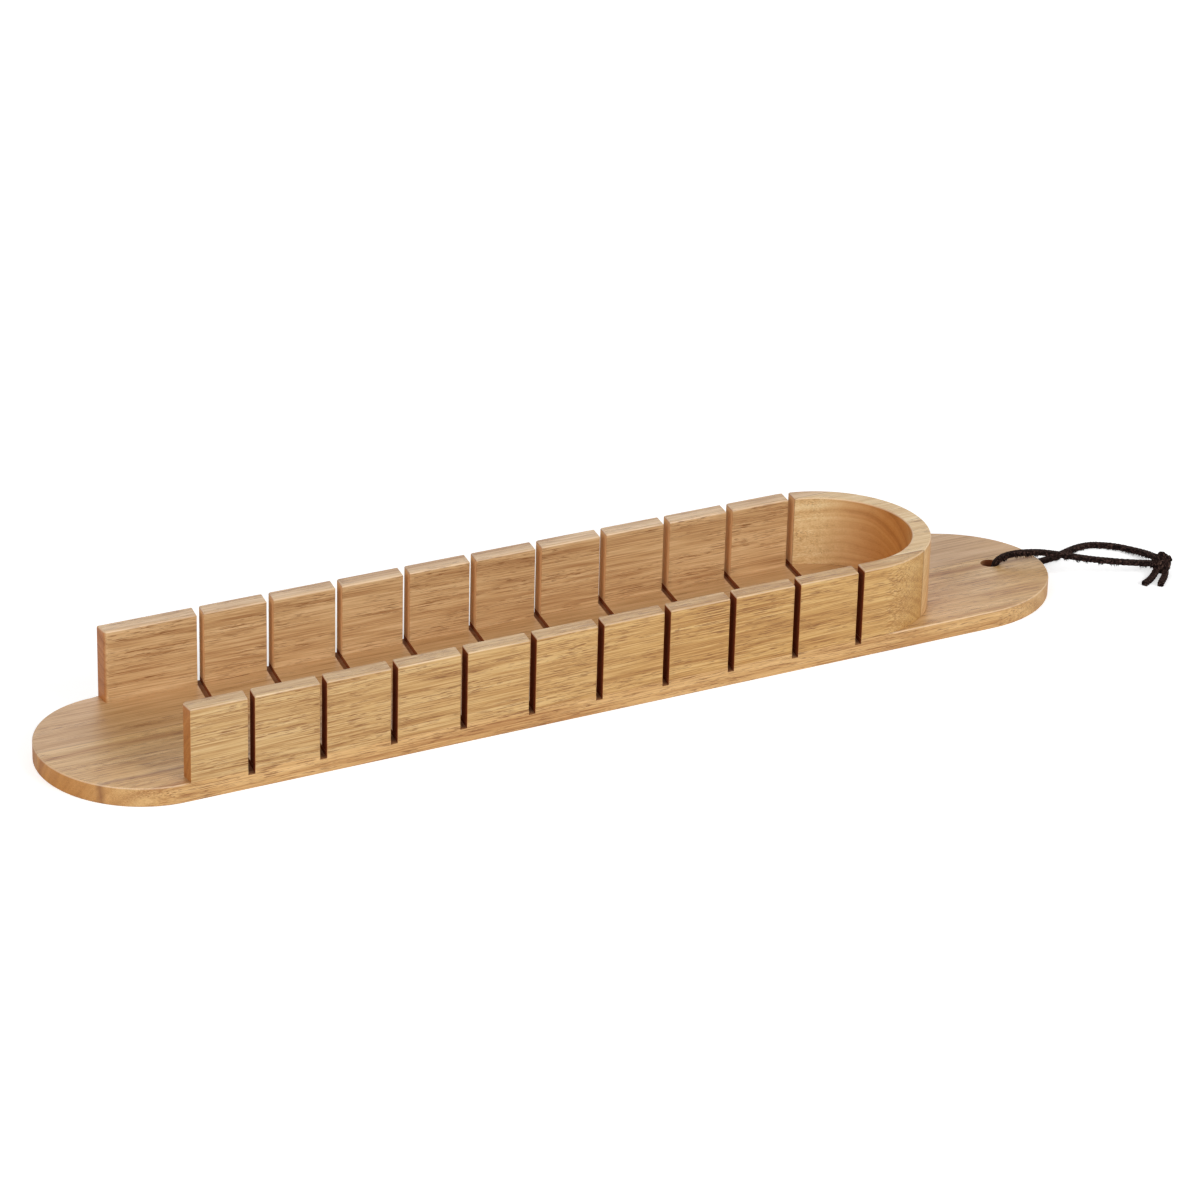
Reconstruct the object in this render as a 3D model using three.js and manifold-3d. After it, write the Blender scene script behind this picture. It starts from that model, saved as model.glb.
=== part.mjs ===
// Slicing board with a sawn U-shaped guide, in millimetres, +Z up.
// X runs along the board towards the hang hole, -Y is the side that faces the user,
// and the origin is under the middle of the board, on the surface that it lies on.
import * as THREE from 'three';
import { mergeVertices } from 'three/addons/utils/BufferGeometryUtils.js';
import Module from 'manifold-3d';

// Board: an edge-glued panel with rounded ends and eased rims.
const BOARD_LENGTH = 602;
const BOARD_WIDTH = 115;
const BOARD_THICKNESS = 10.5;
const ENTRY_END_REACH = 53;
const HOLE_END_REACH = 65;
const BOARD_RIM_EASE = 0.9;

// Guide: two rails and a rounded end, glued on the board and milled to one U shape.
const ENTRY_LANDING = 55.8;
const HOLE_LANDING = 82;
const GUIDE_HEIGHT = 40;
const GUIDE_THICKNESS = 10.3;
const GUIDE_TOP_EASE = 1;
const ENTRY_CORNER_RADIUS = 2.2;
const RAIL_STRIP_THICKNESS = 10.9;

// Kerfs: sawn slantwise through both rails and a little into the board.
const KERF_COUNT = 10;
const KERF_WIDTH = 3.8;
const KERF_SLANT = THREE.MathUtils.degToRad(11);
const FIRST_BLOCK_LENGTH = 33.4;
const LAST_KERF_TO_TURN = 13.3;
const KERF_DEPTH_IN_BOARD = 2.6;
const KERF_MOUTH_EASE = 1.1;

// Dowels: they locate every rail block and the rounded end on the board.
const DOWEL_DIAMETER = 5;
const DOWEL_DEPTH_IN_BOARD = 6;
const DOWEL_DEPTH_IN_GUIDE = 10;
const RAIL_END_DOWEL_OFFSET = 16.5;
const RAIL_END_DOWEL_TO_SEAM = 4.2;
const END_DOWEL_SPREAD = THREE.MathUtils.degToRad(38);

// Hang hole, with a shallow relief under the board for the thong.
const HANG_HOLE_DIAMETER = 10.6;
const HANG_HOLE_SETBACK = 28.7;
const HANG_HOLE_EASE = 0.5;
const HANG_HOLE_TO_SEAM = 2.7;
const RELIEF_WIDTH = 8;
const RELIEF_DEPTH = 4.4;

// Thong: one flat strip of soft leather, doubled through the hole and knotted.
const THONG_WIDTH = 4;
const THONG_THICKNESS = 2.8;
const KNOT_DIAMETER = 12.4;
const KNOT_TURN_THICKNESS = 5.4;
const KNOT_CORE_DIAMETER = 8.4;
const KNOT_TURNS = 3;
const KNOT_LEAN = THREE.MathUtils.degToRad(69);
const KNOT_CENTRE = [366, -34.7, 6.25];
const UPPER_STRAND_ROUTE = [
  [273.9, -1.9, 8],
  [274, -2.2, 9.4],
  [274.5, -2.7, 11.4],
  [275.7, -3.6, 13.2],
  [277.6, -4.7, 14.8],
  [280.8, -6.3, 16.2],
  [285.4, -8.4, 17.1],
  [291.4, -10.8, 17.4],
  [297.8, -13.1, 17],
  [304.2, -15.4, 15.9],
  [310.8, -17.6, 14.5],
  [317.8, -20.1, 13],
  [325.2, -23, 11.6],
  [333, -26, 10.4],
  [341.2, -28.9, 9.2],
  [349.8, -31.4, 8],
  [358.4, -33.2, 6.8],
  [361.6, -33.8, 6.4],
];
const LOWER_STRAND_ROUTE = [
  [273.9, -1.9, 7.6],
  [274, -1.7, 6.4],
  [274.5, -1.4, 4.8],
  [275.8, -1, 3.3],
  [277.8, -0.4, 2.3],
  [281, 0.5, 1.85],
  [288, 1.9, 1.85],
  [295.8, 3.2, 1.85],
  [304.2, 4.6, 1.85],
  [314.2, 6, 1.85],
  [322, 7.4, 1.85],
  [329.2, 9.4, 1.85],
  [337, 11.9, 1.85],
  [344.6, 13.3, 1.85],
  [351.6, 12.4, 1.85],
  [358.2, 8.6, 1.85],
  [363.6, 2.4, 2.1],
  [367.4, -6, 2.7],
  [369.2, -14.4, 3.8],
  [369, -22.4, 5],
  [367.6, -28.4, 5.7],
  [366.9, -31, 5.9],
];
const LONG_TAIL_ROUTE = [
  [362.6, -36.1, 4.4],
  [360, -37.8, 3.3],
  [356.9, -40.1, 2.4],
  [352.4, -43, 1.7],
  [346.2, -46.2, 1.5],
];
const SHORT_TAIL_ROUTE = [
  [366.2, -38, 4.6],
  [364.5, -40.9, 3.2],
  [361.6, -44, 2.1],
  [357.6, -47.5, 1.7],
  [353.7, -51.1, 1.6],
];

const OVERRUN = 3;
const TOUCH_GAP = 0.3;
const EASE_SEGMENTS = 3;
const ARC_SEGMENTS = 48;
const CORNER_SEGMENTS = 5;
const DOWEL_SEGMENTS = 14;
const HOLE_SEGMENTS = 32;
const KNOT_RING_SEGMENTS = 22;
const KNOT_TUBE_SEGMENTS = 12;

const wasm = await Module();
wasm.setup();

// A closed three.js geometry as a solid that can be cut.
function solidOf(geometry) {
  const bare = geometry.clone();
  bare.deleteAttribute('normal');
  bare.deleteAttribute('uv');
  const merged = mergeVertices(bare);
  return new wasm.Manifold(new wasm.Mesh({
    numProp: 3,
    vertProperties: new Float32Array(merged.attributes.position.array),
    triVerts: new Uint32Array(merged.index.array),
  }));
}

// A solid as a flat-shaded three.js geometry.
function geometryOf(solid) {
  const { numProp, vertProperties, triVerts } = solid.getMesh();
  const positions = new Float32Array((vertProperties.length / numProp) * 3);
  for (let vertex = 0; vertex < positions.length / 3; vertex++) {
    for (let axis = 0; axis < 3; axis++) {
      positions[vertex * 3 + axis] = vertProperties[vertex * numProp + axis];
    }
  }
  const indexed = new THREE.BufferGeometry();
  indexed.setAttribute('position', new THREE.BufferAttribute(positions, 3));
  indexed.setIndex(new THREE.BufferAttribute(new Uint32Array(triVerts), 1));
  const geometry = indexed.toNonIndexed();
  geometry.computeVertexNormals();
  return geometry;
}

// Points along an arc about a centre, from one angle to another.
function arc(centreX, centreY, radiusX, radiusY, start, end, segments) {
  const points = [];
  for (let step = 0; step <= segments; step++) {
    const angle = THREE.MathUtils.lerp(start, end, step / segments);
    points.push(new THREE.Vector2(
      centreX + radiusX * Math.cos(angle),
      centreY + radiusY * Math.sin(angle),
    ));
  }
  return points;
}

// A plate whose outline draws in along quarter rounds at its lower and upper rims.
function easedPlate(outlineAt, bottom, top, lowerEase, upperEase) {
  const levels = [];
  for (let step = 0; lowerEase > 0 && step < EASE_SEGMENTS; step++) {
    const angle = (Math.PI / 2) * (step / EASE_SEGMENTS);
    levels.push([lowerEase * (1 - Math.sin(angle)), bottom + lowerEase * (1 - Math.cos(angle))]);
  }
  levels.push([0, bottom + lowerEase]);
  for (let step = 0; step <= EASE_SEGMENTS; step++) {
    const angle = (Math.PI / 2) * (step / EASE_SEGMENTS);
    levels.push([upperEase * (1 - Math.cos(angle)), top - upperEase * (1 - Math.sin(angle))]);
  }
  const positions = [];
  const index = [];
  const count = outlineAt(0).length;
  levels.forEach(([inset, height], level) => {
    outlineAt(inset).forEach((point, place) => {
      positions.push(point.x, point.y, height);
      if (level === 0) return;
      const next = (place + 1) % count;
      const below = (level - 1) * count;
      const above = level * count;
      index.push(below + place, below + next, above + next);
      index.push(below + place, above + next, above + place);
    });
  });
  const last = (levels.length - 1) * count;
  for (const [a, b, c] of THREE.ShapeUtils.triangulateShape(outlineAt(levels[0][0]), [])) {
    index.push(a, c, b);
  }
  for (const [a, b, c] of THREE.ShapeUtils.triangulateShape(outlineAt(upperEase), [])) {
    index.push(last + a, last + b, last + c);
  }
  const geometry = new THREE.BufferGeometry();
  geometry.setAttribute('position', new THREE.Float32BufferAttribute(positions, 3));
  geometry.setIndex(index);
  return solidOf(geometry);
}

// Places that more than one piece follows.
const HALF_LENGTH = BOARD_LENGTH / 2;
const HALF_WIDTH = BOARD_WIDTH / 2;
const GUIDE_START = -HALF_LENGTH + ENTRY_LANDING;
const TURN_CENTRE = HALF_LENGTH - HOLE_LANDING - HALF_WIDTH;
const CHANNEL_HALF_WIDTH = HALF_WIDTH - GUIDE_THICKNESS;
const RAIL_SEAM = HALF_WIDTH - RAIL_STRIP_THICKNESS;
const RAIL_CENTRE = HALF_WIDTH - GUIDE_THICKNESS / 2;
const GUIDE_TOP = BOARD_THICKNESS + GUIDE_HEIGHT;
const HANG_HOLE_X = HALF_LENGTH - HANG_HOLE_SETBACK;
const BOARD_SEAM = HANG_HOLE_DIAMETER / 2 + HANG_HOLE_TO_SEAM;
const KERF_FLOOR = BOARD_THICKNESS - KERF_DEPTH_IN_BOARD;
const KERF_WIDTH_ALONG_RAIL = KERF_WIDTH / Math.cos(KERF_SLANT);
const FIRST_KERF_X = GUIDE_START + FIRST_BLOCK_LENGTH;
const KERF_PITCH = (TURN_CENTRE - LAST_KERF_TO_TURN - FIRST_KERF_X) / (KERF_COUNT - 1);

// Where a kerf's middle lies along the board, at a given place across it.
function kerfX(kerf, across) {
  return FIRST_KERF_X + kerf * KERF_PITCH + (across + HALF_WIDTH) * Math.tan(KERF_SLANT);
}

// Saw kerfs, as cutters with an eased mouth.
function kerfCutter(kerf) {
  const half = KERF_WIDTH / 2;
  const mouthTop = GUIDE_TOP + OVERRUN;
  const easeHeight = GUIDE_TOP - KERF_MOUTH_EASE;
  const right = arc(half + KERF_MOUTH_EASE, easeHeight, KERF_MOUTH_EASE, KERF_MOUTH_EASE,
    Math.PI, Math.PI / 2, EASE_SEGMENTS);
  const left = right.map((point) => new THREE.Vector2(-point.x, point.y)).reverse();
  const profile = new THREE.Shape([
    new THREE.Vector2(-half, KERF_FLOOR),
    new THREE.Vector2(half, KERF_FLOOR),
    ...right,
    new THREE.Vector2(half + KERF_MOUTH_EASE, mouthTop),
    new THREE.Vector2(-half - KERF_MOUTH_EASE, mouthTop),
    ...left,
  ]);
  const length = BOARD_WIDTH / Math.cos(KERF_SLANT) + OVERRUN * 2;
  const cutter = new THREE.ExtrudeGeometry(profile, { depth: length, bevelEnabled: false });
  cutter.translate(0, 0, -length / 2);
  cutter.rotateX(Math.PI / 2);
  cutter.rotateZ(-KERF_SLANT);
  cutter.translate(kerfX(kerf, 0), 0, 0);
  return solidOf(cutter);
}

const kerfNumbers = [...Array(KERF_COUNT).keys()];
const kerfCutters = kerfNumbers.map(kerfCutter);

// Guide: one U-shaped solid, its rims eased, then sawn into blocks.
function guideOutline(inset) {
  const start = GUIDE_START + inset;
  const outer = HALF_WIDTH - inset;
  const inner = CHANNEL_HALF_WIDTH + inset;
  const cornerX = GUIDE_START + ENTRY_CORNER_RADIUS;
  const cornerY = CHANNEL_HALF_WIDTH + ENTRY_CORNER_RADIUS;
  const corner = ENTRY_CORNER_RADIUS - inset;
  return [
    new THREE.Vector2(start, -outer),
    ...arc(TURN_CENTRE, 0, outer, outer, -Math.PI / 2, Math.PI / 2, ARC_SEGMENTS),
    new THREE.Vector2(start, outer),
    ...arc(cornerX, cornerY, corner, corner, Math.PI, Math.PI * 1.5, CORNER_SEGMENTS),
    ...arc(TURN_CENTRE, 0, inner, inner, Math.PI / 2, -Math.PI / 2, ARC_SEGMENTS),
    ...arc(cornerX, -cornerY, corner, corner, Math.PI / 2, Math.PI, CORNER_SEGMENTS),
  ];
}

const wholeGuide = easedPlate(guideOutline, BOARD_THICKNESS, GUIDE_TOP, 0, GUIDE_TOP_EASE);
const sawnGuide = wholeGuide.subtract(wasm.Manifold.union(kerfCutters)).decompose();
const alongBoard = (a, b) => a.boundingBox().min[0] - b.boundingBox().min[0];
const nearBlocks = sawnGuide.filter((piece) => piece.boundingBox().max[1] < 0).sort(alongBoard);
const farBlocks = sawnGuide.filter((piece) => piece.boundingBox().min[1] > 0).sort(alongBoard);
const turnedEnd = sawnGuide.find((piece) => piece.boundingBox().min[1] < 0
  && piece.boundingBox().max[1] > 0);

// Rounded end: the ends of both rail strips, with the end block glued between them.
const [farRailEnd, withoutFarRail] = turnedEnd.splitByPlane([0, 1, 0], RAIL_SEAM);
const [endBlock, nearRailEnd] = withoutFarRail.splitByPlane([0, 1, 0], -RAIL_SEAM);

// Dowels, each half in the board and half in what stands on it.
function dowelGeometry(x, y) {
  const height = DOWEL_DEPTH_IN_BOARD + DOWEL_DEPTH_IN_GUIDE;
  const dowel = new THREE.CylinderGeometry(DOWEL_DIAMETER / 2, DOWEL_DIAMETER / 2, height,
    DOWEL_SEGMENTS);
  dowel.rotateX(Math.PI / 2);
  dowel.translate(x, y, BOARD_THICKNESS - DOWEL_DEPTH_IN_BOARD + height / 2);
  return dowel;
}

// The bore for a dowel: a little wider all round, with its floor at the dowel's lower end.
function dowelBore([x, y]) {
  const radius = DOWEL_DIAMETER / 2 + TOUCH_GAP;
  const height = DOWEL_DEPTH_IN_BOARD + DOWEL_DEPTH_IN_GUIDE + TOUCH_GAP;
  const bore = new THREE.CylinderGeometry(radius, radius, height, DOWEL_SEGMENTS);
  bore.rotateX(Math.PI / 2);
  bore.translate(x, y, BOARD_THICKNESS - DOWEL_DEPTH_IN_BOARD + height / 2);
  return solidOf(bore);
}

// One dowel stands halfway along each block, between the kerfs on its two sides.
function railDowelPlaces(across) {
  return kerfNumbers.map((kerf) => {
    const end = kerfX(kerf, across) - KERF_WIDTH_ALONG_RAIL / 2;
    const start = kerf === 0 ? GUIDE_START : end + KERF_WIDTH_ALONG_RAIL - KERF_PITCH;
    return [(start + end) / 2, across];
  });
}

const railEndDowelX = TURN_CENTRE + RAIL_END_DOWEL_OFFSET;
const railEndDowelY = RAIL_SEAM + RAIL_END_DOWEL_TO_SEAM;
const dowelPlaces = {
  near_guide_dowel: [...railDowelPlaces(-RAIL_CENTRE), [railEndDowelX, -railEndDowelY]],
  far_guide_dowel: [...railDowelPlaces(RAIL_CENTRE), [railEndDowelX, railEndDowelY]],
  end_block_dowel: [-1, 0, 1].map((side) => [
    TURN_CENTRE + RAIL_CENTRE * Math.cos(side * END_DOWEL_SPREAD),
    RAIL_CENTRE * Math.sin(side * END_DOWEL_SPREAD),
  ]),
};
const dowelBores = wasm.Manifold.union(Object.values(dowelPlaces).flat().map(dowelBore));

// Board: rounded ends, kerf floors, dowel bores, the hang hole and the relief under it.
function boardOutline(inset) {
  const entryReach = ENTRY_END_REACH - inset;
  const holeReach = HOLE_END_REACH - inset;
  const half = HALF_WIDTH - inset;
  return [
    ...arc(HALF_LENGTH - HOLE_END_REACH, 0, holeReach, half, -Math.PI / 2, Math.PI / 2,
      ARC_SEGMENTS),
    ...arc(-HALF_LENGTH + ENTRY_END_REACH, 0, entryReach, half, Math.PI / 2, Math.PI * 1.5,
      ARC_SEGMENTS),
  ];
}

function hangHoleCutter() {
  const radius = HANG_HOLE_DIAMETER / 2;
  const wide = radius + HANG_HOLE_EASE;
  const profile = [
    new THREE.Vector2(0, -OVERRUN),
    new THREE.Vector2(wide, -OVERRUN),
    new THREE.Vector2(wide, 0),
    new THREE.Vector2(radius, HANG_HOLE_EASE),
    new THREE.Vector2(radius, BOARD_THICKNESS - HANG_HOLE_EASE),
    new THREE.Vector2(wide, BOARD_THICKNESS),
    new THREE.Vector2(wide, BOARD_THICKNESS + OVERRUN),
    new THREE.Vector2(0, BOARD_THICKNESS + OVERRUN),
  ];
  const cutter = new THREE.LatheGeometry(profile, HOLE_SEGMENTS);
  cutter.rotateX(Math.PI / 2);
  cutter.translate(HANG_HOLE_X, 0, 0);
  return solidOf(cutter);
}

// The relief follows the lower strand from the hole to the end of the board.
function reliefCutter() {
  const [outsideX, outsideY] = LOWER_STRAND_ROUTE.find(([x]) => x > HALF_LENGTH);
  const length = outsideX - HANG_HOLE_X + OVERRUN;
  const cutter = new THREE.BoxGeometry(length, RELIEF_WIDTH, RELIEF_DEPTH + OVERRUN);
  cutter.translate(length / 2, 0, (RELIEF_DEPTH - OVERRUN) / 2);
  cutter.rotateZ(Math.atan2(outsideY, outsideX - HANG_HOLE_X));
  cutter.translate(HANG_HOLE_X, 0, 0);
  return solidOf(cutter);
}

// The rails stand flush with the board's edges, so its upper rims stay square under them.
function squareRims() {
  const length = TURN_CENTRE - GUIDE_START;
  const height = BOARD_THICKNESS - BOARD_RIM_EASE;
  const band = new THREE.BoxGeometry(length, BOARD_WIDTH, height);
  band.translate(GUIDE_START + length / 2, 0, BOARD_RIM_EASE + height / 2);
  return solidOf(band);
}

const board = easedPlate(boardOutline, 0, BOARD_THICKNESS, BOARD_RIM_EASE, BOARD_RIM_EASE)
  .add(squareRims())
  .subtract(wasm.Manifold.union([...kerfCutters, dowelBores, hangHoleCutter(), reliefCutter()]));
const [farStave, nearStave] = board.splitByPlane([0, 1, 0], BOARD_SEAM);

// Thong: a flat strip with softened corners, swept along its route.
function thongSection() {
  const halfThickness = THONG_THICKNESS / 2;
  const halfWidth = THONG_WIDTH / 2;
  const corner = THONG_THICKNESS / 4;
  return new THREE.Shape([
    new THREE.Vector2(halfThickness, halfWidth - corner),
    new THREE.Vector2(halfThickness - corner, halfWidth),
    new THREE.Vector2(corner - halfThickness, halfWidth),
    new THREE.Vector2(-halfThickness, halfWidth - corner),
    new THREE.Vector2(-halfThickness, corner - halfWidth),
    new THREE.Vector2(corner - halfThickness, -halfWidth),
    new THREE.Vector2(halfThickness - corner, -halfWidth),
    new THREE.Vector2(halfThickness, corner - halfWidth),
  ]);
}

function thongGeometry(route, stepsPerPoint) {
  const path = new THREE.CatmullRomCurve3(route.map((point) => new THREE.Vector3(...point)));
  return new THREE.ExtrudeGeometry(thongSection(), {
    steps: (route.length - 1) * stepsPerPoint,
    bevelEnabled: false,
    extrudePath: path,
  });
}

// Knot: the turns of a drawn overhand knot, leaning round its waist.
function knotSolid() {
  const tube = KNOT_TURN_THICKNESS / 2;
  const turns = [];
  for (let turn = 0; turn < KNOT_TURNS; turn++) {
    const ring = new THREE.TorusGeometry(KNOT_DIAMETER / 2 - tube, tube, KNOT_TUBE_SEGMENTS,
      KNOT_RING_SEGMENTS);
    ring.rotateX(KNOT_LEAN);
    ring.rotateZ((Math.PI * turn) / KNOT_TURNS);
    turns.push(solidOf(ring));
  }
  const core = new THREE.SphereGeometry(KNOT_CORE_DIAMETER / 2, KNOT_RING_SEGMENTS,
    KNOT_TUBE_SEGMENTS);
  return wasm.Manifold.union([...turns, solidOf(core)]).translate(KNOT_CENTRE);
}

const knot = knotSolid();
const knotClearance = solidOf(new THREE.SphereGeometry(KNOT_DIAMETER / 2 + TOUCH_GAP,
  KNOT_RING_SEGMENTS, KNOT_TUBE_SEGMENTS)).translate(KNOT_CENTRE);

// Materials
const wood = { roughness: 0.6, metalness: 0 };
const materials = {
  board: new THREE.MeshStandardMaterial({ color: '#c9a67c', ...wood }),
  guide: new THREE.MeshStandardMaterial({ color: '#cfae80', ...wood }),
  dowel: new THREE.MeshStandardMaterial({ color: '#c39a68', ...wood }),
  leather: new THREE.MeshStandardMaterial({ color: '#2a1d19', roughness: 0.9, metalness: 0 }),
};

// Assembly
const group = new THREE.Group();
function add(name, geometry, material) {
  const mesh = new THREE.Mesh(geometry, material.clone());
  mesh.name = name;
  group.add(mesh);
}

function addEach(name, geometries, material) {
  geometries.forEach((geometry, place) => {
    add(`${name}_${String(place + 1).padStart(2, '0')}`, geometry, material);
  });
}

add('base_near_stave', geometryOf(nearStave), materials.board);
add('base_far_stave', geometryOf(farStave), materials.board);
for (const [side, blocks] of Object.entries({ near: nearBlocks, far: farBlocks })) {
  const bored = blocks.map((block) => geometryOf(block.subtract(dowelBores)));
  addEach(`${side}_guide_block`, bored, materials.guide);
}
add('near_rail_end', geometryOf(nearRailEnd.subtract(dowelBores)), materials.guide);
add('far_rail_end', geometryOf(farRailEnd.subtract(dowelBores)), materials.guide);
add('end_block', geometryOf(endBlock.subtract(dowelBores)), materials.guide);
for (const [name, places] of Object.entries(dowelPlaces)) {
  addEach(name, places.map(([x, y]) => dowelGeometry(x, y)), materials.dowel);
}
const strands = {
  thong_upper_strand: [UPPER_STRAND_ROUTE, 3],
  thong_lower_strand: [LOWER_STRAND_ROUTE, 3],
  thong_long_tail: [LONG_TAIL_ROUTE, 3],
  thong_short_tail: [SHORT_TAIL_ROUTE, 3],
};
for (const [name, [route, steps]] of Object.entries(strands)) {
  const strand = solidOf(thongGeometry(route, steps)).subtract(knotClearance);
  add(name, geometryOf(strand), materials.leather);
}
add('thong_knot', geometryOf(knot), materials.leather);

export default group;
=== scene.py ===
import math
from functools import partial

import bpy
import numpy as np
from mathutils import Matrix, Vector


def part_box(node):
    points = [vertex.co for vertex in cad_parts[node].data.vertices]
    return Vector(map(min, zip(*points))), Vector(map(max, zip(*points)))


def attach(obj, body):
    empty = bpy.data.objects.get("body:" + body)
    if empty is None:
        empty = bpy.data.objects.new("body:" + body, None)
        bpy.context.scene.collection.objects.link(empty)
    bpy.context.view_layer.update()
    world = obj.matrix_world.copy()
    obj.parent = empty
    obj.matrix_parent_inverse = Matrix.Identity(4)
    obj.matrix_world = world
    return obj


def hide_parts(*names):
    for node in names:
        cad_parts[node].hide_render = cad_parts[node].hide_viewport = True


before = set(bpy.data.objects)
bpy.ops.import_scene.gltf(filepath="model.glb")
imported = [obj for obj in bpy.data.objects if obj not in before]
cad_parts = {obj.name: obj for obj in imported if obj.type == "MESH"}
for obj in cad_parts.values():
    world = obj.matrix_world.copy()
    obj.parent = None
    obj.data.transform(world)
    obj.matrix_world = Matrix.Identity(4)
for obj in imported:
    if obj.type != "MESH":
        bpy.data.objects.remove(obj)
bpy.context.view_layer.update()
MM = 0.001


# Camera: a long lens to the left of the board and above it, with a slight roll. The place and
# the lens were fitted to the edges of the board in the photograph.
VIEW_TARGET = Vector((0.0415, 0.0367, 0.0177))
VIEW_DISTANCE = 2.415
VIEW_AZIMUTH = math.radians(-30.084)
VIEW_ELEVATION = math.radians(23.508)
VIEW_ROLL = math.radians(1.561)
SENSOR_WIDTH_MM = 36
LENS_MM = 133.38


def aim_camera():
    """Stands back from the target by azimuth and elevation, and turns about the view by the
    roll."""
    flat = math.cos(VIEW_ELEVATION)
    back = Vector((
        math.sin(VIEW_AZIMUTH) * flat,
        -math.cos(VIEW_AZIMUTH) * flat,
        math.sin(VIEW_ELEVATION),
    ))
    right = Vector((0, 0, 1)).cross(back).normalized()
    up = back.cross(right)
    turned_right = right * math.cos(VIEW_ROLL) + up * math.sin(VIEW_ROLL)
    turned_up = up * math.cos(VIEW_ROLL) - right * math.sin(VIEW_ROLL)
    axes = Matrix((turned_right, turned_up, back)).transposed().to_4x4()
    return Matrix.Translation(VIEW_TARGET + back * VIEW_DISTANCE) @ axes


camera_data = bpy.data.cameras.new("camera")
camera_data.sensor_width = SENSOR_WIDTH_MM
camera_data.lens = LENS_MM
camera = bpy.data.objects.new("camera", camera_data)
camera.matrix_world = aim_camera()
bpy.context.scene.collection.objects.link(camera)
bpy.context.scene.camera = camera
bpy.context.scene.view_settings.view_transform = "Standard"


# Thong: one flat strip of dark brown suede, cut from a hide. It is doubled through the hang hole,
# and its two ends are tied together in one overhand knot that leaves two short tails.
THONG_WIDTH = 4 * MM
THONG_THICKNESS = 2.8 * MM
THONG_CORNER = 0.7 * MM
CORNER_STEPS = 4
CORNER_HOLD = 0.25 * MM
NAP_DEPTH = 0.25 * MM
NAP_WAVES = (  # rate along the strip, swing and turns round it, shift of the turn, and start
    (4.1, 19, 1, 0.0, 0.0),
    (2.3, 11, 1, 0.25, 1.3),
    (7.9, 31, 2, 0.0, 0.7),
)
CUT_EDGES = np.tile((0,) + (1,) * (CORNER_STEPS + 1) + (0,), 4)  # 1 on the section's corners
KNOT_CENTRE = np.array((366, -34.7, 6.25)) * MM
UPPER_STRAND_ROUTE = np.array((
    (273.9, -1.9, 8), (274, -2.2, 9.4), (274.5, -2.7, 11.4), (275.7, -3.6, 13.2),
    (277.6, -4.7, 14.8), (280.8, -6.3, 16.2), (285.4, -8.4, 17.1), (291.4, -10.8, 17.4),
    (297.8, -13.1, 17), (304.2, -15.4, 15.9), (310.8, -17.6, 14.5), (317.8, -20.1, 13),
    (325.2, -23, 11.6), (333, -26, 10.4), (341.2, -28.9, 9.2), (349.8, -31.4, 8),
    (358.4, -33.2, 6.8), (361.6, -33.8, 6.4),
)) * MM
LOWER_STRAND_ROUTE = np.array((
    (273.9, -1.9, 7.6), (274, -1.7, 6.4), (274.5, -1.4, 4.8), (275.8, -1, 3.3),
    (277.8, -0.4, 2.3), (281, 0.5, 1.85), (288, 1.9, 1.85), (295.8, 3.2, 1.85),
    (304.2, 4.6, 1.85), (314.2, 6, 1.85), (322, 7.4, 1.85), (329.2, 9.4, 1.85),
    (337, 11.9, 1.85), (344.6, 13.3, 1.85), (351.6, 12.4, 1.85), (358.2, 8.6, 1.85),
    (363.6, 2.4, 2.1), (367.4, -6, 2.7), (369.2, -14.4, 3.8), (369, -22.4, 5),
    (367.6, -28.4, 5.7), (366.9, -31, 5.9),
)) * MM
LONG_TAIL_ROUTE = np.array((
    (362.6, -36.1, 4.4), (360, -37.8, 3.3), (356.9, -40.1, 2.4), (352.4, -43, 1.7),
    (346.2, -46.2, 1.5),
)) * MM
SHORT_TAIL_ROUTE = np.array((
    (366.2, -38, 4.6), (364.5, -40.9, 3.2), (361.6, -44, 2.1), (357.6, -47.5, 1.7),
    (353.7, -51.1, 1.6),
)) * MM
ROUTE_STEPS = 14
UPPER_FACES_AT_HOLE = (-0.93, 0.36, 0)
LOWER_FACES_AT_HOLE = (1, 0, 0)
DOWN_TO_FLAT = 14 * MM  # the stretch over which a strand turns flat
TAIL_WIDTH = 3.5 * MM
OFF_THE_TABLE = 0.02 * MM


def linear(hex_colour):
    """An sRGB hex colour as linear red, green, blue and alpha."""
    srgb = np.array([int(hex_colour[place:place + 2], 16) for place in (1, 3, 5)]) / 255
    toned = np.where(srgb <= 0.04045, srgb / 12.92, ((srgb + 0.055) / 1.055) ** 2.4)
    return (*toned.tolist(), 1.0)


def lay_node(tree, kind, settings=None, links=None):
    """Adds a node, gives its sockets and properties the settings, and links its inputs."""
    made = tree.nodes.new(kind)
    for name, value in (settings or {}).items():
        if isinstance(name, int) or name in made.inputs:
            made.inputs[name].default_value = value
        else:
            setattr(made, name, value)
    for name, output in (links or {}).items():
        tree.links.new(output, made.inputs[name])
    return made


def new_material(name, settings):
    """A material with one Principled shader, whose constant sockets take the settings."""
    material = bpy.data.materials.new(name)
    material.use_nodes = True
    tree = material.node_tree
    tree.nodes.clear()
    shader = lay_node(tree, "ShaderNodeBsdfPrincipled", settings)
    lay_node(tree, "ShaderNodeOutputMaterial", links={"Surface": shader.outputs["BSDF"]})
    return material, tree, shader


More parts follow.
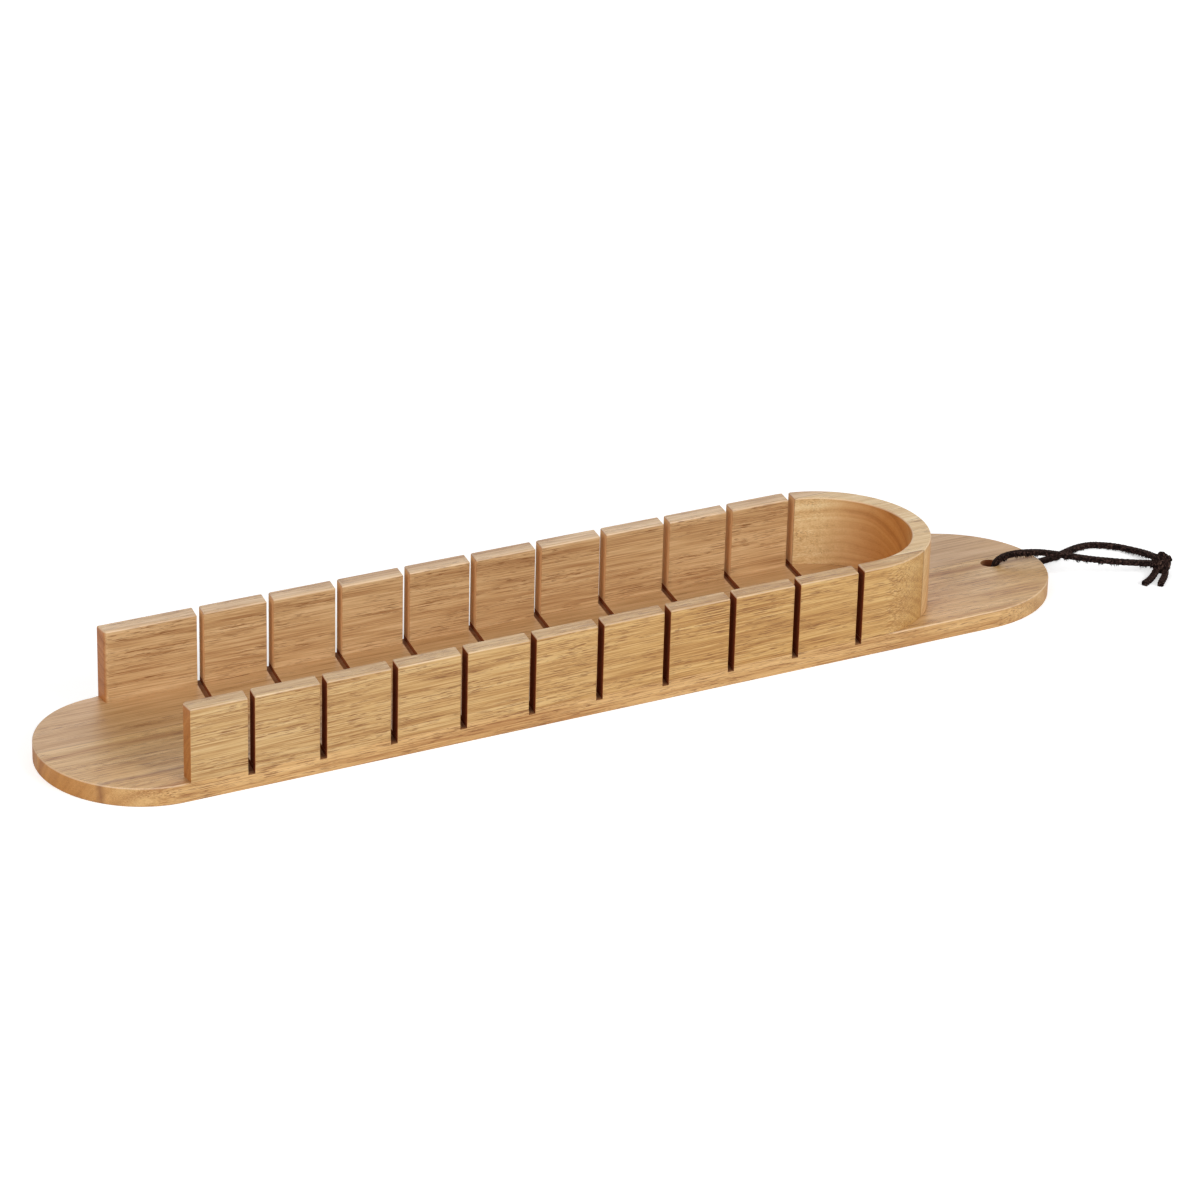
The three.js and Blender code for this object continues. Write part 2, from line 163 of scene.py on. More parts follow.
def smooth_route(route, steps):
    """Catmull-Rom through the route's points: on each span, the cubic with slopes from its
    neighbours, at evenly spaced shares of the span."""
    padded = np.vstack((2 * route[0] - route[1], route, 2 * route[-1] - route[-2]))
    before, start, end, after = padded[:-3], padded[1:-2], padded[2:-1], padded[3:]
    share = np.linspace(0, 1, steps, endpoint=False)[None, :, None]
    before, start, end, after = (part[:, None, :] for part in (before, start, end, after))
    line = 0.5 * (
        2 * start + (end - before) * share
        + (2 * before - 5 * start + 4 * end - after) * share ** 2
        + (3 * start - before - 3 * end + after) * share ** 3
    )
    return np.vstack((line.reshape(-1, 3), route[-1]))


def tangents_along(line):
    """Unit directions along a line of points."""
    slopes = np.gradient(line, axis=0)
    return slopes / np.linalg.norm(slopes, axis=1, keepdims=True)


def lengths_along(line):
    """The distance travelled at each point of a line."""
    spans = np.linalg.norm(np.diff(line, axis=0), axis=1)
    return np.concatenate(((0,), np.cumsum(spans)))


def rounded_outline(corners, radii, steps, hold):
    """The closed outline with these corners, counterclockwise, each rounded by an arc whose radius
    is given. One more point stands on each side of an arc, so that the straights shade flat."""
    corners = np.asarray(corners, float)
    radii = np.broadcast_to(np.asarray(radii, float), len(corners))[:, None]
    back = np.roll(corners, 1, axis=0) - corners
    ahead = np.roll(corners, -1, axis=0) - corners
    back /= np.linalg.norm(back, axis=1, keepdims=True)
    ahead /= np.linalg.norm(ahead, axis=1, keepdims=True)
    half_angle = np.arccos(np.clip((back * ahead).sum(1), -1, 1))[:, None] / 2
    reach = radii / np.tan(half_angle)
    share = np.linspace(0, 1, steps + 1)[None, :, None]
    inward = back + ahead
    inward /= np.linalg.norm(inward, axis=1, keepdims=True)
    centre = corners + inward * radii / np.sin(half_angle)
    first = corners + back * reach - centre
    last = corners + ahead * reach - centre
    sweep = np.pi - 2 * half_angle[:, None, :]
    arc = (
        first[:, None, :] * np.sin((1 - share) * sweep) + last[:, None, :] * np.sin(share * sweep)
    ) / np.sin(sweep) + centre[:, None, :]
    before = (corners + back * (reach + hold))[:, None, :]
    after = (corners + ahead * (reach + hold))[:, None, :]
    return np.concatenate((before, arc, after), axis=1).reshape(-1, 2)


def tube_faces(levels, around):
    """Quads that join each closed ring of points to the next one, and a face over each end."""
    level, place = np.meshgrid(np.arange(levels - 1), np.arange(around), indexing="ij")
    low, high = level * around, (level + 1) * around
    ahead = (place + 1) % around
    quads = np.stack((low + place, low + ahead, high + ahead, high + place), axis=-1)
    last = (levels - 1) * around
    return [*quads.reshape(-1, 4).tolist(), list(range(around))[::-1],
            list(range(last, last + around))]


def mesh_piece(name, points, faces, material, smooth_below=35):
    """A mesh object from points and faces, shaded smooth but for edges sharper than an angle."""
    mesh = bpy.data.meshes.new(name)
    mesh.from_pydata(np.asarray(points).reshape(-1, 3).tolist(), [], faces)
    mesh.validate()
    mesh.shade_smooth()
    mesh.set_sharp_from_angle(angle=math.radians(smooth_below))
    mesh.materials.append(material)
    made = bpy.data.objects.new(name, mesh)
    bpy.context.scene.collection.objects.link(made)
    return made


def strap_rings(line, thickness_way, width=THONG_WIDTH, thickness=THONG_THICKNESS):
    """The rings of a flat strip along a line. The section, a rectangle with round corners, lies
    across the line's direction with its thin side along thickness_way. The nap moves each point in
    or out by three sine waves of unlike lengths along and round the strip."""
    way = tangents_along(line)
    across = np.cross(thickness_way, way)
    across /= np.linalg.norm(across, axis=1, keepdims=True)
    thin = np.cross(way, across)
    half_width, half_thickness = width / 2, thickness / 2
    section = rounded_outline(
        ((-half_width, -half_thickness), (half_width, -half_thickness),
         (half_width, half_thickness), (-half_width, half_thickness)),
        THONG_CORNER, CORNER_STEPS, CORNER_HOLD,
    )
    place = np.arange(len(section))[None, :] / len(section)
    run = lengths_along(line)[:, None] / MM
    nap = sum(
        np.sin(rate * run + swing * np.sin(2 * np.pi * (turns * place + shift)) + start)
        for rate, swing, turns, shift, start in NAP_WAVES
    ) / len(NAP_WAVES)
    swell = 1 + (NAP_DEPTH / half_width) * nap[..., None]
    return line[:, None, :] + swell * (
        section[None, :, :1] * across[:, None, :] + section[None, :, 1:] * thin[:, None, :]
    )


def tubes_piece(name, tubes, material, smooth_below=50, edge_fray_and_highlight=0.35):
    """One mesh object from several tubes, each given as rings of points. Notes where the strip's
    cut edges run, and how pale they are drawn, as raw fibres and painted highlight. What would sink
    into the table lies flat on it."""
    points, faces, edges = [], [], []
    for rings in tubes:
        rings[..., 2] = np.maximum(rings[..., 2], OFF_THE_TABLE)
        first = sum(len(part) for part in points)
        faces += [[first + corner for corner in face] for face in tube_faces(*rings.shape[:2])]
        points.append(rings.reshape(-1, 3))
        edges.append(np.tile(np.resize(CUT_EDGES, rings.shape[1]), len(rings)))
    made = mesh_piece(name, np.concatenate(points), faces, material, smooth_below)
    cut_edge = made.data.attributes.new("cut_edge", "FLOAT", "POINT")
    cut_edge.data.foreach_set("value", edge_fray_and_highlight * np.concatenate(edges))
    return made


def rising_way(line, start_way):
    """Which way a strand's flat side faces: start_way at the hole, turning to straight up over
    the first stretch of the line."""
    share = np.clip(lengths_along(line) / DOWN_TO_FLAT, 0, 1)[:, None]
    share = share * share * (3 - 2 * share)
    way = (1 - share) * np.asarray(start_way, float) + share * np.array((0, 0, 1.0))
    return way / np.linalg.norm(way, axis=1, keepdims=True)


# Suede, split from the hide and dyed through: matt, with a short nap that catches the light at the
# rim, and paler raw fibres along the cut edges, drawn paler still as painted highlight along them.
# The nap's hairs are too fine to show, so it is drawn in clumps.
NAP_CLUMP = 1.3 * MM
RAW_FIBRE_AND_HIGHLIGHT = "#84695a"
suede, tree, shader = new_material("suede_leather", {
    "Roughness": 0.95, "IOR": 1.45, "Specular IOR Level": 0.12,
    "Sheen Weight": 0.12, "Sheen Roughness": 0.6, "Sheen Tint": linear("#7d5a4a"),
})
place = lay_node(tree, "ShaderNodeTexCoord").outputs["Object"]
nap_noise = lay_node(tree, "ShaderNodeTexNoise", {
    "Scale": 1 / NAP_CLUMP, "Detail": 5, "Roughness": 0.75}, {"Vector": place})
nap_ramp = lay_node(tree, "ShaderNodeValToRGB", links={"Fac": nap_noise.outputs["Fac"]})
nap_ramp.color_ramp.elements[0].position = 0.42
nap_ramp.color_ramp.elements[0].color = linear("#030101")
nap_ramp.color_ramp.elements[1].position = 0.66
nap_ramp.color_ramp.elements[1].color = linear("#4c3733")
nap_ramp.color_ramp.elements.new(0.52).color = linear("#190d0b")
# Cut edges drawn paler: raw fibres, and painted highlight along the strip's edges and the knot's
# ribs.
cut_edge = lay_node(tree, "ShaderNodeAttribute", {"attribute_name": "cut_edge"}).outputs["Fac"]
fray_and_highlight = lay_node(tree, "ShaderNodeMapRange", {
    "From Min": 0.5, "From Max": 0.66, "To Max": 0.75}, {"Value": nap_noise.outputs["Fac"]})
fibre_and_highlight_share = lay_node(tree, "ShaderNodeMath", {"operation": "MULTIPLY"},
                     {0: cut_edge, 1: fray_and_highlight.outputs[0]})
dyed = lay_node(tree, "ShaderNodeMix", {"data_type": "RGBA", 7: linear(RAW_FIBRE_AND_HIGHLIGHT)},
                {0: fibre_and_highlight_share.outputs[0], 6: nap_ramp.outputs["Color"]})
tree.links.new(dyed.outputs[2], shader.inputs["Base Color"])
nap_bump = lay_node(tree, "ShaderNodeBump", {"Strength": 0.7, "Distance": NAP_DEPTH},
                    {"Height": nap_noise.outputs["Fac"]})
tree.links.new(nap_bump.outputs["Normal"], shader.inputs["Normal"])

upper_line = smooth_route(UPPER_STRAND_ROUTE, ROUTE_STEPS)
lower_line = smooth_route(LOWER_STRAND_ROUTE, ROUTE_STEPS)
upper_way = rising_way(upper_line, UPPER_FACES_AT_HOLE)
lower_way = rising_way(lower_line, LOWER_FACES_AT_HOLE)
upper_strand = tubes_piece("suede_upper_strand", [strap_rings(upper_line, upper_way)], suede)
lower_strand = tubes_piece("suede_lower_strand", [strap_rings(lower_line, lower_way)], suede)
tails = []
for tail_name, tail_route in (("long", LONG_TAIL_ROUTE), ("short", SHORT_TAIL_ROUTE)):
    tail_line = smooth_route(tail_route, ROUTE_STEPS)
    upright = np.broadcast_to((0, 0, 1.0), tail_line.shape)
    tails.append(tubes_piece(
        f"suede_{tail_name}_tail", [strap_rings(tail_line, upright, TAIL_WIDTH)], suede))

# Overhand knot, drawn tight: a ball of wraps. Each wrap is a way over the ball, as directions in
# the knot's own frame (to the right, up, and out to the front) and a share of the ball's radius.
KNOT_WRAP_RADIUS = 4.4 * MM
KNOT_BALL_RADIUS = 5.45 * MM
KNOT_STRIP = (3.1 * MM, 2.3 * MM)
KNOT_RIB_HEIGHT = 0.15
KNOT_RIB_PITCH = 1.05 * MM
KNOT_TURN = math.radians(-30)
KNOT_LEAN = math.radians(-23.5)
KNOT_FRAME = np.array(Matrix.Rotation(KNOT_TURN, 3, "Z") @ Matrix.Rotation(KNOT_LEAN, 3, "X"))
FRONT_WRAPS = (
    ((-0.76, 0.1, 0.3, 0.85), (-0.76, 0.42, 0.42, 1.02), (-0.45, 0.7, 0.56, 1.06),
     (0.05, 0.78, 0.6, 1.06), (0.6, 0.6, 0.54, 1.09), (0.86, 0.14, 0.5, 1.1),
     (0.82, -0.36, 0.46, 1.13), (0.54, -0.74, 0.4, 1.1), (0.1, -0.96, 0.1, 0.9)),
    ((0.0, 0.5, 0.6, 0.8), (-0.04, 0.28, 0.9, 1.02), (-0.02, -0.05, 1.0, 1.12),
     (-0.02, -0.45, 0.88, 1.1), (-0.1, -0.82, 0.5, 1.0), (-0.14, -0.98, 0.1, 0.9)),
    ((-0.4, 0.6, 0.5, 0.8), (-0.64, 0.3, 0.64, 1.06), (-0.8, -0.05, 0.55, 1.12),
     (-0.78, -0.42, 0.4, 1.08), (-0.56, -0.74, 0.35, 1.0), (-0.4, -0.95, 0.1, 0.85)),
    ((0.3, 0.4, 0.75, 0.85), (0.36, 0.1, 0.9, 1.0), (0.32, -0.3, 0.9, 1.0),
     (0.16, -0.8, 0.5, 0.9)),
)
BACK_WRAPS = (
    ((0.6, 0.35, -0.5, 0.95), (0.3, 0.66, -0.65, 1.02), (-0.3, 0.6, -0.7, 1.03),
     (-0.62, 0.2, -0.7, 1.03), (-0.6, -0.4, -0.6, 1.02), (-0.1, -0.8, -0.5, 0.95)),
    ((-0.3, 0.5, -0.7, 0.9), (-0.1, 0.3, -0.95, 1.08), (0.15, -0.1, -1.0, 1.1),
     (0.35, -0.5, -0.8, 1.05), (0.4, -0.75, -0.4, 0.95)),
    ((0.62, 0.3, -0.5, 0.95), (0.66, 0.0, -0.7, 1.02), (0.6, -0.4, -0.6, 1.0),
     (0.3, -0.75, -0.5, 0.95)),
)


def wrap_rings(wrap):
    """A strip over the ball: each direction times its share of the radius, joined smoothly, with
    the strip's flat side on the ball. A sine wave along the strip gives it low ribs."""
    wrap = np.array(wrap)
    out = wrap[:, :3] / np.linalg.norm(wrap[:, :3], axis=1, keepdims=True)
    line = smooth_route(out * wrap[:, 3:] * KNOT_WRAP_RADIUS, ROUTE_STEPS)
    outward = line / np.linalg.norm(line, axis=1, keepdims=True)
    rib = 1 + KNOT_RIB_HEIGHT * np.sin(2 * np.pi * lengths_along(line) / KNOT_RIB_PITCH)
    rings = strap_rings(line, outward, *KNOT_STRIP)
    rings = line[:, None, :] + rib[:, None, None] * (rings - line[:, None, :])
    return rings @ KNOT_FRAME.T + KNOT_CENTRE


def ball_rings(radius, levels=14, around=28, pole=0.02):
    """A ball as rings: radius times the sine and the cosine of the angle from its top. The first
    and last rings stand off the poles by a small angle."""
    turn = np.linspace(pole, np.pi - pole, levels)[::-1, None]
    angle = np.linspace(0, 2 * np.pi, around, endpoint=False)[None, :]
    return radius * np.stack((
        np.sin(turn) * np.cos(angle), np.sin(turn) * np.sin(angle),
        np.cos(turn) * np.ones_like(angle),
    ), axis=-1) + KNOT_CENTRE


knot_rings = [ball_rings(KNOT_BALL_RADIUS), *map(wrap_rings, FRONT_WRAPS + BACK_WRAPS)]
# The knot's edges are drawn paler than the strands', painted highlight on its ribs.
knot = tubes_piece("suede_knot", knot_rings, suede, edge_fray_and_highlight=0.6)

# Loose nap: tufts of suede fibres that the knife left standing out of the strip's cut edges. They
# hang below the strands. Real fibres are finer, and are drawn as coarse as they need to show.
TUFT_COUNT = 75
FIBRES_PER_TUFT = 9
TUFT_SPREAD = 2
UPPER_NAP_STARTS = 40  # the step of the route from which tufts show
LOWER_NAP_STARTS = 90
FIBRE_LENGTHS = (0.7 * MM, 2.3 * MM)
FIBRE_SHORTNESS = 1.6
FIBRE_RADIUS = 0.27 * MM
FIBRE_ROOT_OUT = (0.38, 0.08)  # shares of the strip's width: the mean, and how far chance goes
FIBRE_ROOT_DOWN = 1.1 * MM
FIBRE_LEAN_OUT = (0.3, 0.3)  # the mean, and how far chance goes
FIBRE_LEAN_ALONG = 0.5
FIBRE_HANG = 0.8
TIP_OFF_THE_TABLE = 0.05 * MM
dice = np.random.default_rng(7)


def fibres(lines):
    """Thin three-sided spikes in tufts at random places along the lines. Each starts inside the
    strip and leans down, outwards and along by random shares. Its length is the shortest one plus
    a random share, raised to the power of FIBRE_SHORTNESS, of the range."""
    line = np.concatenate([part[TUFT_SPREAD:-TUFT_SPREAD] for part in lines])
    way = np.concatenate([tangents_along(part)[TUFT_SPREAD:-TUFT_SPREAD] for part in lines])
    count = TUFT_COUNT * FIBRES_PER_TUFT
    tuft = np.repeat(dice.integers(0, len(line), TUFT_COUNT), FIBRES_PER_TUFT)
    hand = np.repeat(dice.choice((-1, 1, 1), TUFT_COUNT), FIBRES_PER_TUFT)[:, None]
    pick = np.clip(tuft + dice.integers(-TUFT_SPREAD, TUFT_SPREAD + 1, count), 0, len(line) - 1)
    root, along = line[pick], way[pick]
    side = np.cross(along, (0, 0, 1.0))
    side /= np.linalg.norm(side, axis=1, keepdims=True)
    lean = dice.uniform(-1, 1, (count, 2))
    root_out = THONG_WIDTH * (FIBRE_ROOT_OUT[0] + FIBRE_ROOT_OUT[1] * lean[:, :1])
    root = root + hand * side * root_out - (0, 0, FIBRE_ROOT_DOWN)
    lean_out = FIBRE_LEAN_OUT[0] + FIBRE_LEAN_OUT[1] * lean[:, :1]
    lean_along = FIBRE_LEAN_ALONG * lean[:, 1:]
    grow = hand * side * lean_out + along * lean_along - (0, 0, FIBRE_HANG)
    grow /= np.linalg.norm(grow, axis=1, keepdims=True)
    reach = FIBRE_LENGTHS[1] - FIBRE_LENGTHS[0]
    length = FIBRE_LENGTHS[0] + reach * dice.random((count, 1)) ** FIBRE_SHORTNESS
    tip = root + grow * length
    first = np.cross(grow, along)
    first /= np.linalg.norm(first, axis=1, keepdims=True)
    second = np.cross(grow, first)
    foot = [root + FIBRE_RADIUS * (math.cos(turn) * first + math.sin(turn) * second)
            for turn in (0, 2 * math.pi / 3, 4 * math.pi / 3)]
    points = np.stack((*foot, tip), axis=1)
    points[..., 2] = np.maximum(points[..., 2], TIP_OFF_THE_TABLE)
    corners = np.array(((0, 1, 3), (1, 2, 3), (2, 0, 3), (2, 1, 0)))
    faces = (4 * np.arange(count)[:, None, None] + corners[None]).reshape(-1, 3)
    return points.reshape(-1, 3), faces.tolist()


nap_lines = [upper_line[UPPER_NAP_STARTS:], lower_line[LOWER_NAP_STARTS:]]
nap_fibres = mesh_piece("suede_loose_nap", *fibres(nap_lines), suede)

for made in (upper_strand, lower_strand, knot, nap_fibres, *tails):
    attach(made, "root")
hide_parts("thong_upper_strand")
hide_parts("thong_lower_strand")
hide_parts("thong_knot")
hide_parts("thong_long_tail")
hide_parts("thong_short_tail")


# Board: an edge-glued panel of two rubberwood staves, planed, with rounded ends cut on a template
# and rims eased with a router. The saw kerfs of the guide run on across its top as shallow scores.
HOLE_END_REACH = 65 * MM
ENTRY_END_REACH = 53 * MM
END_STEPS = 80
RUN_STEPS = 220
RIM_EASE = 0.9 * MM
EASE_STEPS = 6
EASE_HOLD = 0.08 * MM
EASE_RUN_OUT = 5 * MM
FLUSH_PAST_TURN = 6 * MM  # how far past the turn's centre the guide is flush with the edge
FLUSH_SHARE = 0.97  # how much of the ease is left out there
KERF_SLANT = math.radians(11)
KERF_DEPTH = 2.6 * MM
RAIL_THICKNESS = 10.3 * MM

near_low, near_high = (np.array(corner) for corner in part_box("base_near_stave"))
far_low, far_high = (np.array(corner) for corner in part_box("base_far_stave"))
HALF_LENGTH = near_high[0]
HALF_WIDTH = far_high[1]
BOARD_TOP = near_high[2]
SEAM_Y = near_high[1]
GUIDE_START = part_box("near_guide_block_01")[0][0]
GUIDE_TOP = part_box("end_block")[1][2]
TURN_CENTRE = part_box("end_block")[1][0] - HALF_WIDTH
CHANNEL_HALF_WIDTH = HALF_WIDTH - RAIL_THICKNESS
SLANT_SLOPE = math.tan(KERF_SLANT)
KERF_FLOOR = BOARD_TOP - KERF_DEPTH


def ease_levels(bottom, top, lower, upper):
    """Insets and heights of a plate's rings: a quarter round, a hold, the wall, a hold and a
    quarter round, then a hold on the flat top and on the flat bottom."""
    turn = np.linspace(0, np.pi / 2, EASE_STEPS + 1)
    low_inset = lower * (1 - np.sin(turn))
    low_height = bottom + lower * (1 - np.cos(turn))
    high_inset = upper * (1 - np.cos(turn))
    high_height = top - upper * (1 - np.sin(turn))
    inset = np.concatenate((
        (lower + EASE_HOLD,), low_inset, (0, 0), high_inset, (upper + EASE_HOLD,),
    ))
    wall = (bottom + lower + EASE_HOLD, top - upper - EASE_HOLD)
    height = np.concatenate(((bottom,), low_height, wall, high_height, (top,)))
    return inset, height


def half_ellipse(centre_x, reach_x, reach_y, start, end, steps):
    """Points along part of an ellipse, by its angle from +X."""
    angle = np.linspace(start, end, steps)
    return np.stack((centre_x + reach_x * np.cos(angle), reach_y * np.sin(angle)), axis=1)


def stave_outline(inset, low_y, high_y):
    """The board's outline, drawn in by inset, between two lines along X. The seam between the
    staves isn't drawn in."""
    reach_y = HALF_WIDTH - inset
    start = math.asin(np.clip(low_y / reach_y, -1, 1))
    end = math.asin(np.clip(high_y / reach_y, -1, 1))
    right, left = HALF_LENGTH - HOLE_END_REACH, -HALF_LENGTH + ENTRY_END_REACH
    hole_end = half_ellipse(right, HOLE_END_REACH - inset, reach_y, start, end, END_STEPS)
    entry_end = half_ellipse(left, ENTRY_END_REACH - inset, reach_y,
                             math.pi - end, math.pi - start, END_STEPS)
    across_x = np.linspace(right, left, RUN_STEPS)[1:-1]
    far_run = np.stack((across_x, np.full_like(across_x, entry_end[0, 1])), axis=1)
    near_run = np.stack((across_x[::-1], np.full_like(across_x, entry_end[-1, 1])), axis=1)
    return np.concatenate((hole_end, far_run, entry_end, near_run))


def rim_share(outline):
    """How much of the rim's ease is left: all of it at both ends, and next to none where the guide
    stands flush with the edge, with a smooth step from one to the other."""
    x = outline[:, 0]
    flush_end = TURN_CENTRE + FLUSH_PAST_TURN
    into = np.clip((x - (GUIDE_START - EASE_RUN_OUT)) / EASE_RUN_OUT, 0, 1)
    out_of = np.clip((flush_end + EASE_RUN_OUT - x) / EASE_RUN_OUT, 0, 1)
    under = np.minimum(into, out_of)
    return 1 - FLUSH_SHARE * under * under * (3 - 2 * under)


def stave(name, low_y, high_y, material):
    """A stave: rings of the outline, drawn in along quarter rounds at both rims. At the upper rim
    each point is drawn in and lowered by its own share of the ease."""
    rings = []
    plain = stave_outline(0, low_y, high_y)
    share = rim_share(plain)
    insets, heights = ease_levels(0, BOARD_TOP, RIM_EASE, RIM_EASE)
    for inset, height in zip(insets, heights):
        drawn = stave_outline(inset, low_y, high_y)
        level = np.full(len(drawn), height)
        if height > BOARD_TOP / 2:
            eased = stave_outline(min(inset, RIM_EASE), low_y, high_y)
            drawn = plain + (eased - plain) * share[:, None] + drawn - eased
            drop = min(BOARD_TOP - height, RIM_EASE)
            level = height + drop * (1 - share)
        rings.append(np.column_stack((drawn, level)))
    rings = np.array(rings)
    return mesh_piece(name, rings, tube_faces(*rings.shape[:2]), material)


def kerf_boxes():
    """Each kerf's middle at the rail's outer face, and its width along X, from the blocks."""
    boxes = [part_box(f"near_guide_block_{number:02d}") for number in range(1, 11)]
    skew = RAIL_THICKNESS * SLANT_SLOPE
    left = np.array([box[1][0] - skew for box in boxes])
    starts = [box[0][0] for box in boxes[1:]] + [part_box("near_rail_end")[0][0]]
    return (left + np.array(starts)) / 2, np.array(starts) - left


kerf_middles, kerf_widths = kerf_boxes()


def cutter(name, points, faces):
    """A closed shape that is taken away from pieces and then removed."""
    mesh = bpy.data.meshes.new(name)
    mesh.from_pydata(np.asarray(points).reshape(-1, 3).tolist(), [], faces)
    made = bpy.data.objects.new(name, mesh)
    bpy.context.scene.collection.objects.link(made)
    return made


def prism(name, outline, bottom, top):
    """A cutter with upright walls on an outline."""
    rings = np.array([np.column_stack((outline, np.full(len(outline), height)))
                      for height in (bottom, top)])
    return cutter(name, rings, tube_faces(2, len(outline)))


def turned(name, centre, profile, around=48):
    """A cutter turned about an upright axis: radii and heights, carried round the centre."""
    angle = np.linspace(0, 2 * np.pi, around, endpoint=False)
    profile = np.asarray(profile, float)
    rings = np.stack((
        centre[0] + profile[:, :1] * np.cos(angle),
        centre[1] + profile[:, :1] * np.sin(angle),
        np.broadcast_to(profile[:, 1:], (len(profile), around)),
    ), axis=-1)
    return cutter(name, rings, tube_faces(*rings.shape[:2]))


# How dark the cuts are drawn, as shares of the darkest: the tools' scorch, with painted shade where
# the cuts stand in shadow. The kerfs' walls and floors, and the hang hole's wall, which is given by
# its middle, its change over a radius and its least; it grows darker towards +X as painted shadow
# of the thong.
WALL_SCORCH_AND_SHADE = 1.0
FLOOR_SCORCH_AND_SHADE = 0.7
HOLE_SCORCH_AND_SHADOW = (0.9, 0.4, 0.5)
PAST_FIRST_KERF = 3 * MM
KERFS_PAST_TURN = 25 * MM
WALL_ALONG_SAW = 0.995  # by the cosine between a face's direction and the one meant
FLOOR_LEVEL = 0.99
WALL_UPRIGHT = 0.3
CUT_TOLERANCE = 0.01 * MM
HOLE_TOLERANCE = 0.1 * MM


def mark_sawn(mesh):
    """Notes how dark each face is drawn, as the tool's scorch with painted shade, told by its
    direction and place: kerf walls, which lie along the saw's slant, kerf floors, and the hang
    hole's wall."""
    normals, centres = np.empty(len(mesh.polygons) * 3), np.empty(len(mesh.polygons) * 3)
    mesh.polygons.foreach_get("normal", normals)
    mesh.polygons.foreach_get("center", centres)
    normals, centres = normals.reshape(-1, 3), centres.reshape(-1, 3)
    across_saw = np.array((math.cos(KERF_SLANT), -math.sin(KERF_SLANT), 0))
    x, y, z = centres.T
    in_kerfs = (x > kerf_middles[0] - PAST_FIRST_KERF) & (x < TURN_CENTRE + KERFS_PAST_TURN)
    wall = (np.abs(normals @ across_saw) > WALL_ALONG_SAW) & in_kerfs
    kerf_floor = (normals[:, 2] > FLOOR_LEVEL) & (np.abs(z - KERF_FLOOR) < CUT_TOLERANCE)
    # The hang hole's wall: scorch, with painted shadow of the thong that deepens towards +X.
    middle, change, least = HOLE_SCORCH_AND_SHADOW
    hole_scorch_and_shadow = np.clip(middle + change * (x - HOLE_X) / HOLE_RADIUS, least, 1)
    in_hole = np.hypot(x - HOLE_X, y) < HOLE_RADIUS + HOLE_TOLERANCE
    hole_wall = (np.abs(normals[:, 2]) < WALL_UPRIGHT) & in_hole
    sawn = mesh.attributes.new("sawn", "FLOAT", "FACE")
    sawn.data.foreach_set("value", np.select(
        (wall, kerf_floor, hole_wall), (WALL_SCORCH_AND_SHADE, FLOOR_SCORCH_AND_SHADE, hole_scorch_and_shadow), 0.0))


def take_away(piece, cutters, smooth_below=35):
    """Subtracts the cutters one after another, and keeps the result as the piece's own mesh, with
    its sawn faces noted."""
    for tool in cutters:
        cut = piece.modifiers.new("cut", "BOOLEAN")
        cut.operation, cut.solver, cut.object = "DIFFERENCE", "EXACT", tool
    graph = bpy.context.evaluated_depsgraph_get()
    result = bpy.data.meshes.new_from_object(piece.evaluated_get(graph), depsgraph=graph)
    piece.modifiers.clear()
    old = piece.data
    piece.data = result
    bpy.data.meshes.remove(old)
    result.name = piece.name
    result.shade_smooth()
    result.set_sharp_from_angle(angle=math.radians(smooth_below))
    mark_sawn(result)


# Rubberwood, planed, sanded and oiled: straw-coloured, with long soft streaks, short brown pore
# lines along the grain, darker end grain that drinks more oil, and brown saw cuts, darkened further
# by painted shade where they stand in shadow. Eased rims that face partly up get a painted
# highlight. Its vessels are 0.2 to 0.3 mm wide, and are drawn 0.36 to 0.5 mm wide, so that they
# show from the camera.
STREAKS = (  # length along the grain, width across it, detail and weight
    (150 * MM, 13 * MM, 2, 0.9),
    (70 * MM, 3.2 * MM, 1.5, 0.85),
    (40 * MM, 0.5 * MM, 1, 2.1),
)
RING_WEIGHTS = (1.2, 1.3)  # on a face along the grain, and on one across it
PORES = ((13 * MM, 0.5 * MM, 0.6), (7 * MM, 0.36 * MM, 0.61))  # length, width and threshold
PORE_EDGE = 0.06
CROWD = (50 * MM, 6 * MM, 1)  # patches of pores: length, width and detail
CROWDED_PORES = (0.62, 0.78)  # the patches' noise where pores begin to crowd, and where all show
CROWDING_SHIFT = 0.3
SPARSE_PORES = 0.15
SWAY = (160 * MM, 45 * MM, 2)  # the pith's sway: length, width and detail
SWAY_WIDTH = 12 * MM
VEIN_WAVE = (50 * MM, 20 * MM, 3)  # a vein's waver, likewise
VEIN_WAVE_WIDTH = 7 * MM
VEINS_FADE = {"From Min": 120 * MM, "From Max": -120 * MM}  # the X where veins end, and are full
GLUE_LINE = 0.36 * MM
END_GRAIN = {"From Min": 0.5, "From Max": 1.0}  # by how far the surface faces along the grain
SHORT_GRAIN = {"From Min": 0.1, "From Max": 0.7}  # likewise, for streaks and pores cut short
SHORT_STREAKS = 0.4
SHORT_PORES = 0.3
RIM_SLOPES = (  # by how far up the surface faces: from the wall to the rim, and from the top to it
    {"From Min": 0.1, "From Max": 0.4}, {"From Min": 0.985, "From Max": 0.85},
)
HEARTWOOD = (1, "#fff7e2", "MULTIPLY")  # a layer's strength, its colour and how it is laid on
VEIN = (0.7, "#8a5c37", "MIX")
OPEN_PORE = (0.85, "#805128", "MIX")
# A painted highlight on the eased rims, drawn pale where they catch the light.
PAINTED_RIM_HIGHLIGHT = (0.3, "#f6e0c6", "MIX")
GLUE = (0.62, "#7d5230", "MIX")
END_STRENGTH = 0.85
# How strongly the saw's scorch and the painted shade darken the cuts.
SCORCH_AND_SHADE_STRENGTH = 0.93
POLISH = {"To Min": 0.36, "To Max": 0.5}  # roughness of pale wood, and of dark
SAWN_ROUGHNESS = 0.5
SHINE = {"To Min": 0.5, "To Max": 0.05}  # specular level of planed wood, and of sawn
PORE_DEPTH = 0.08 * MM


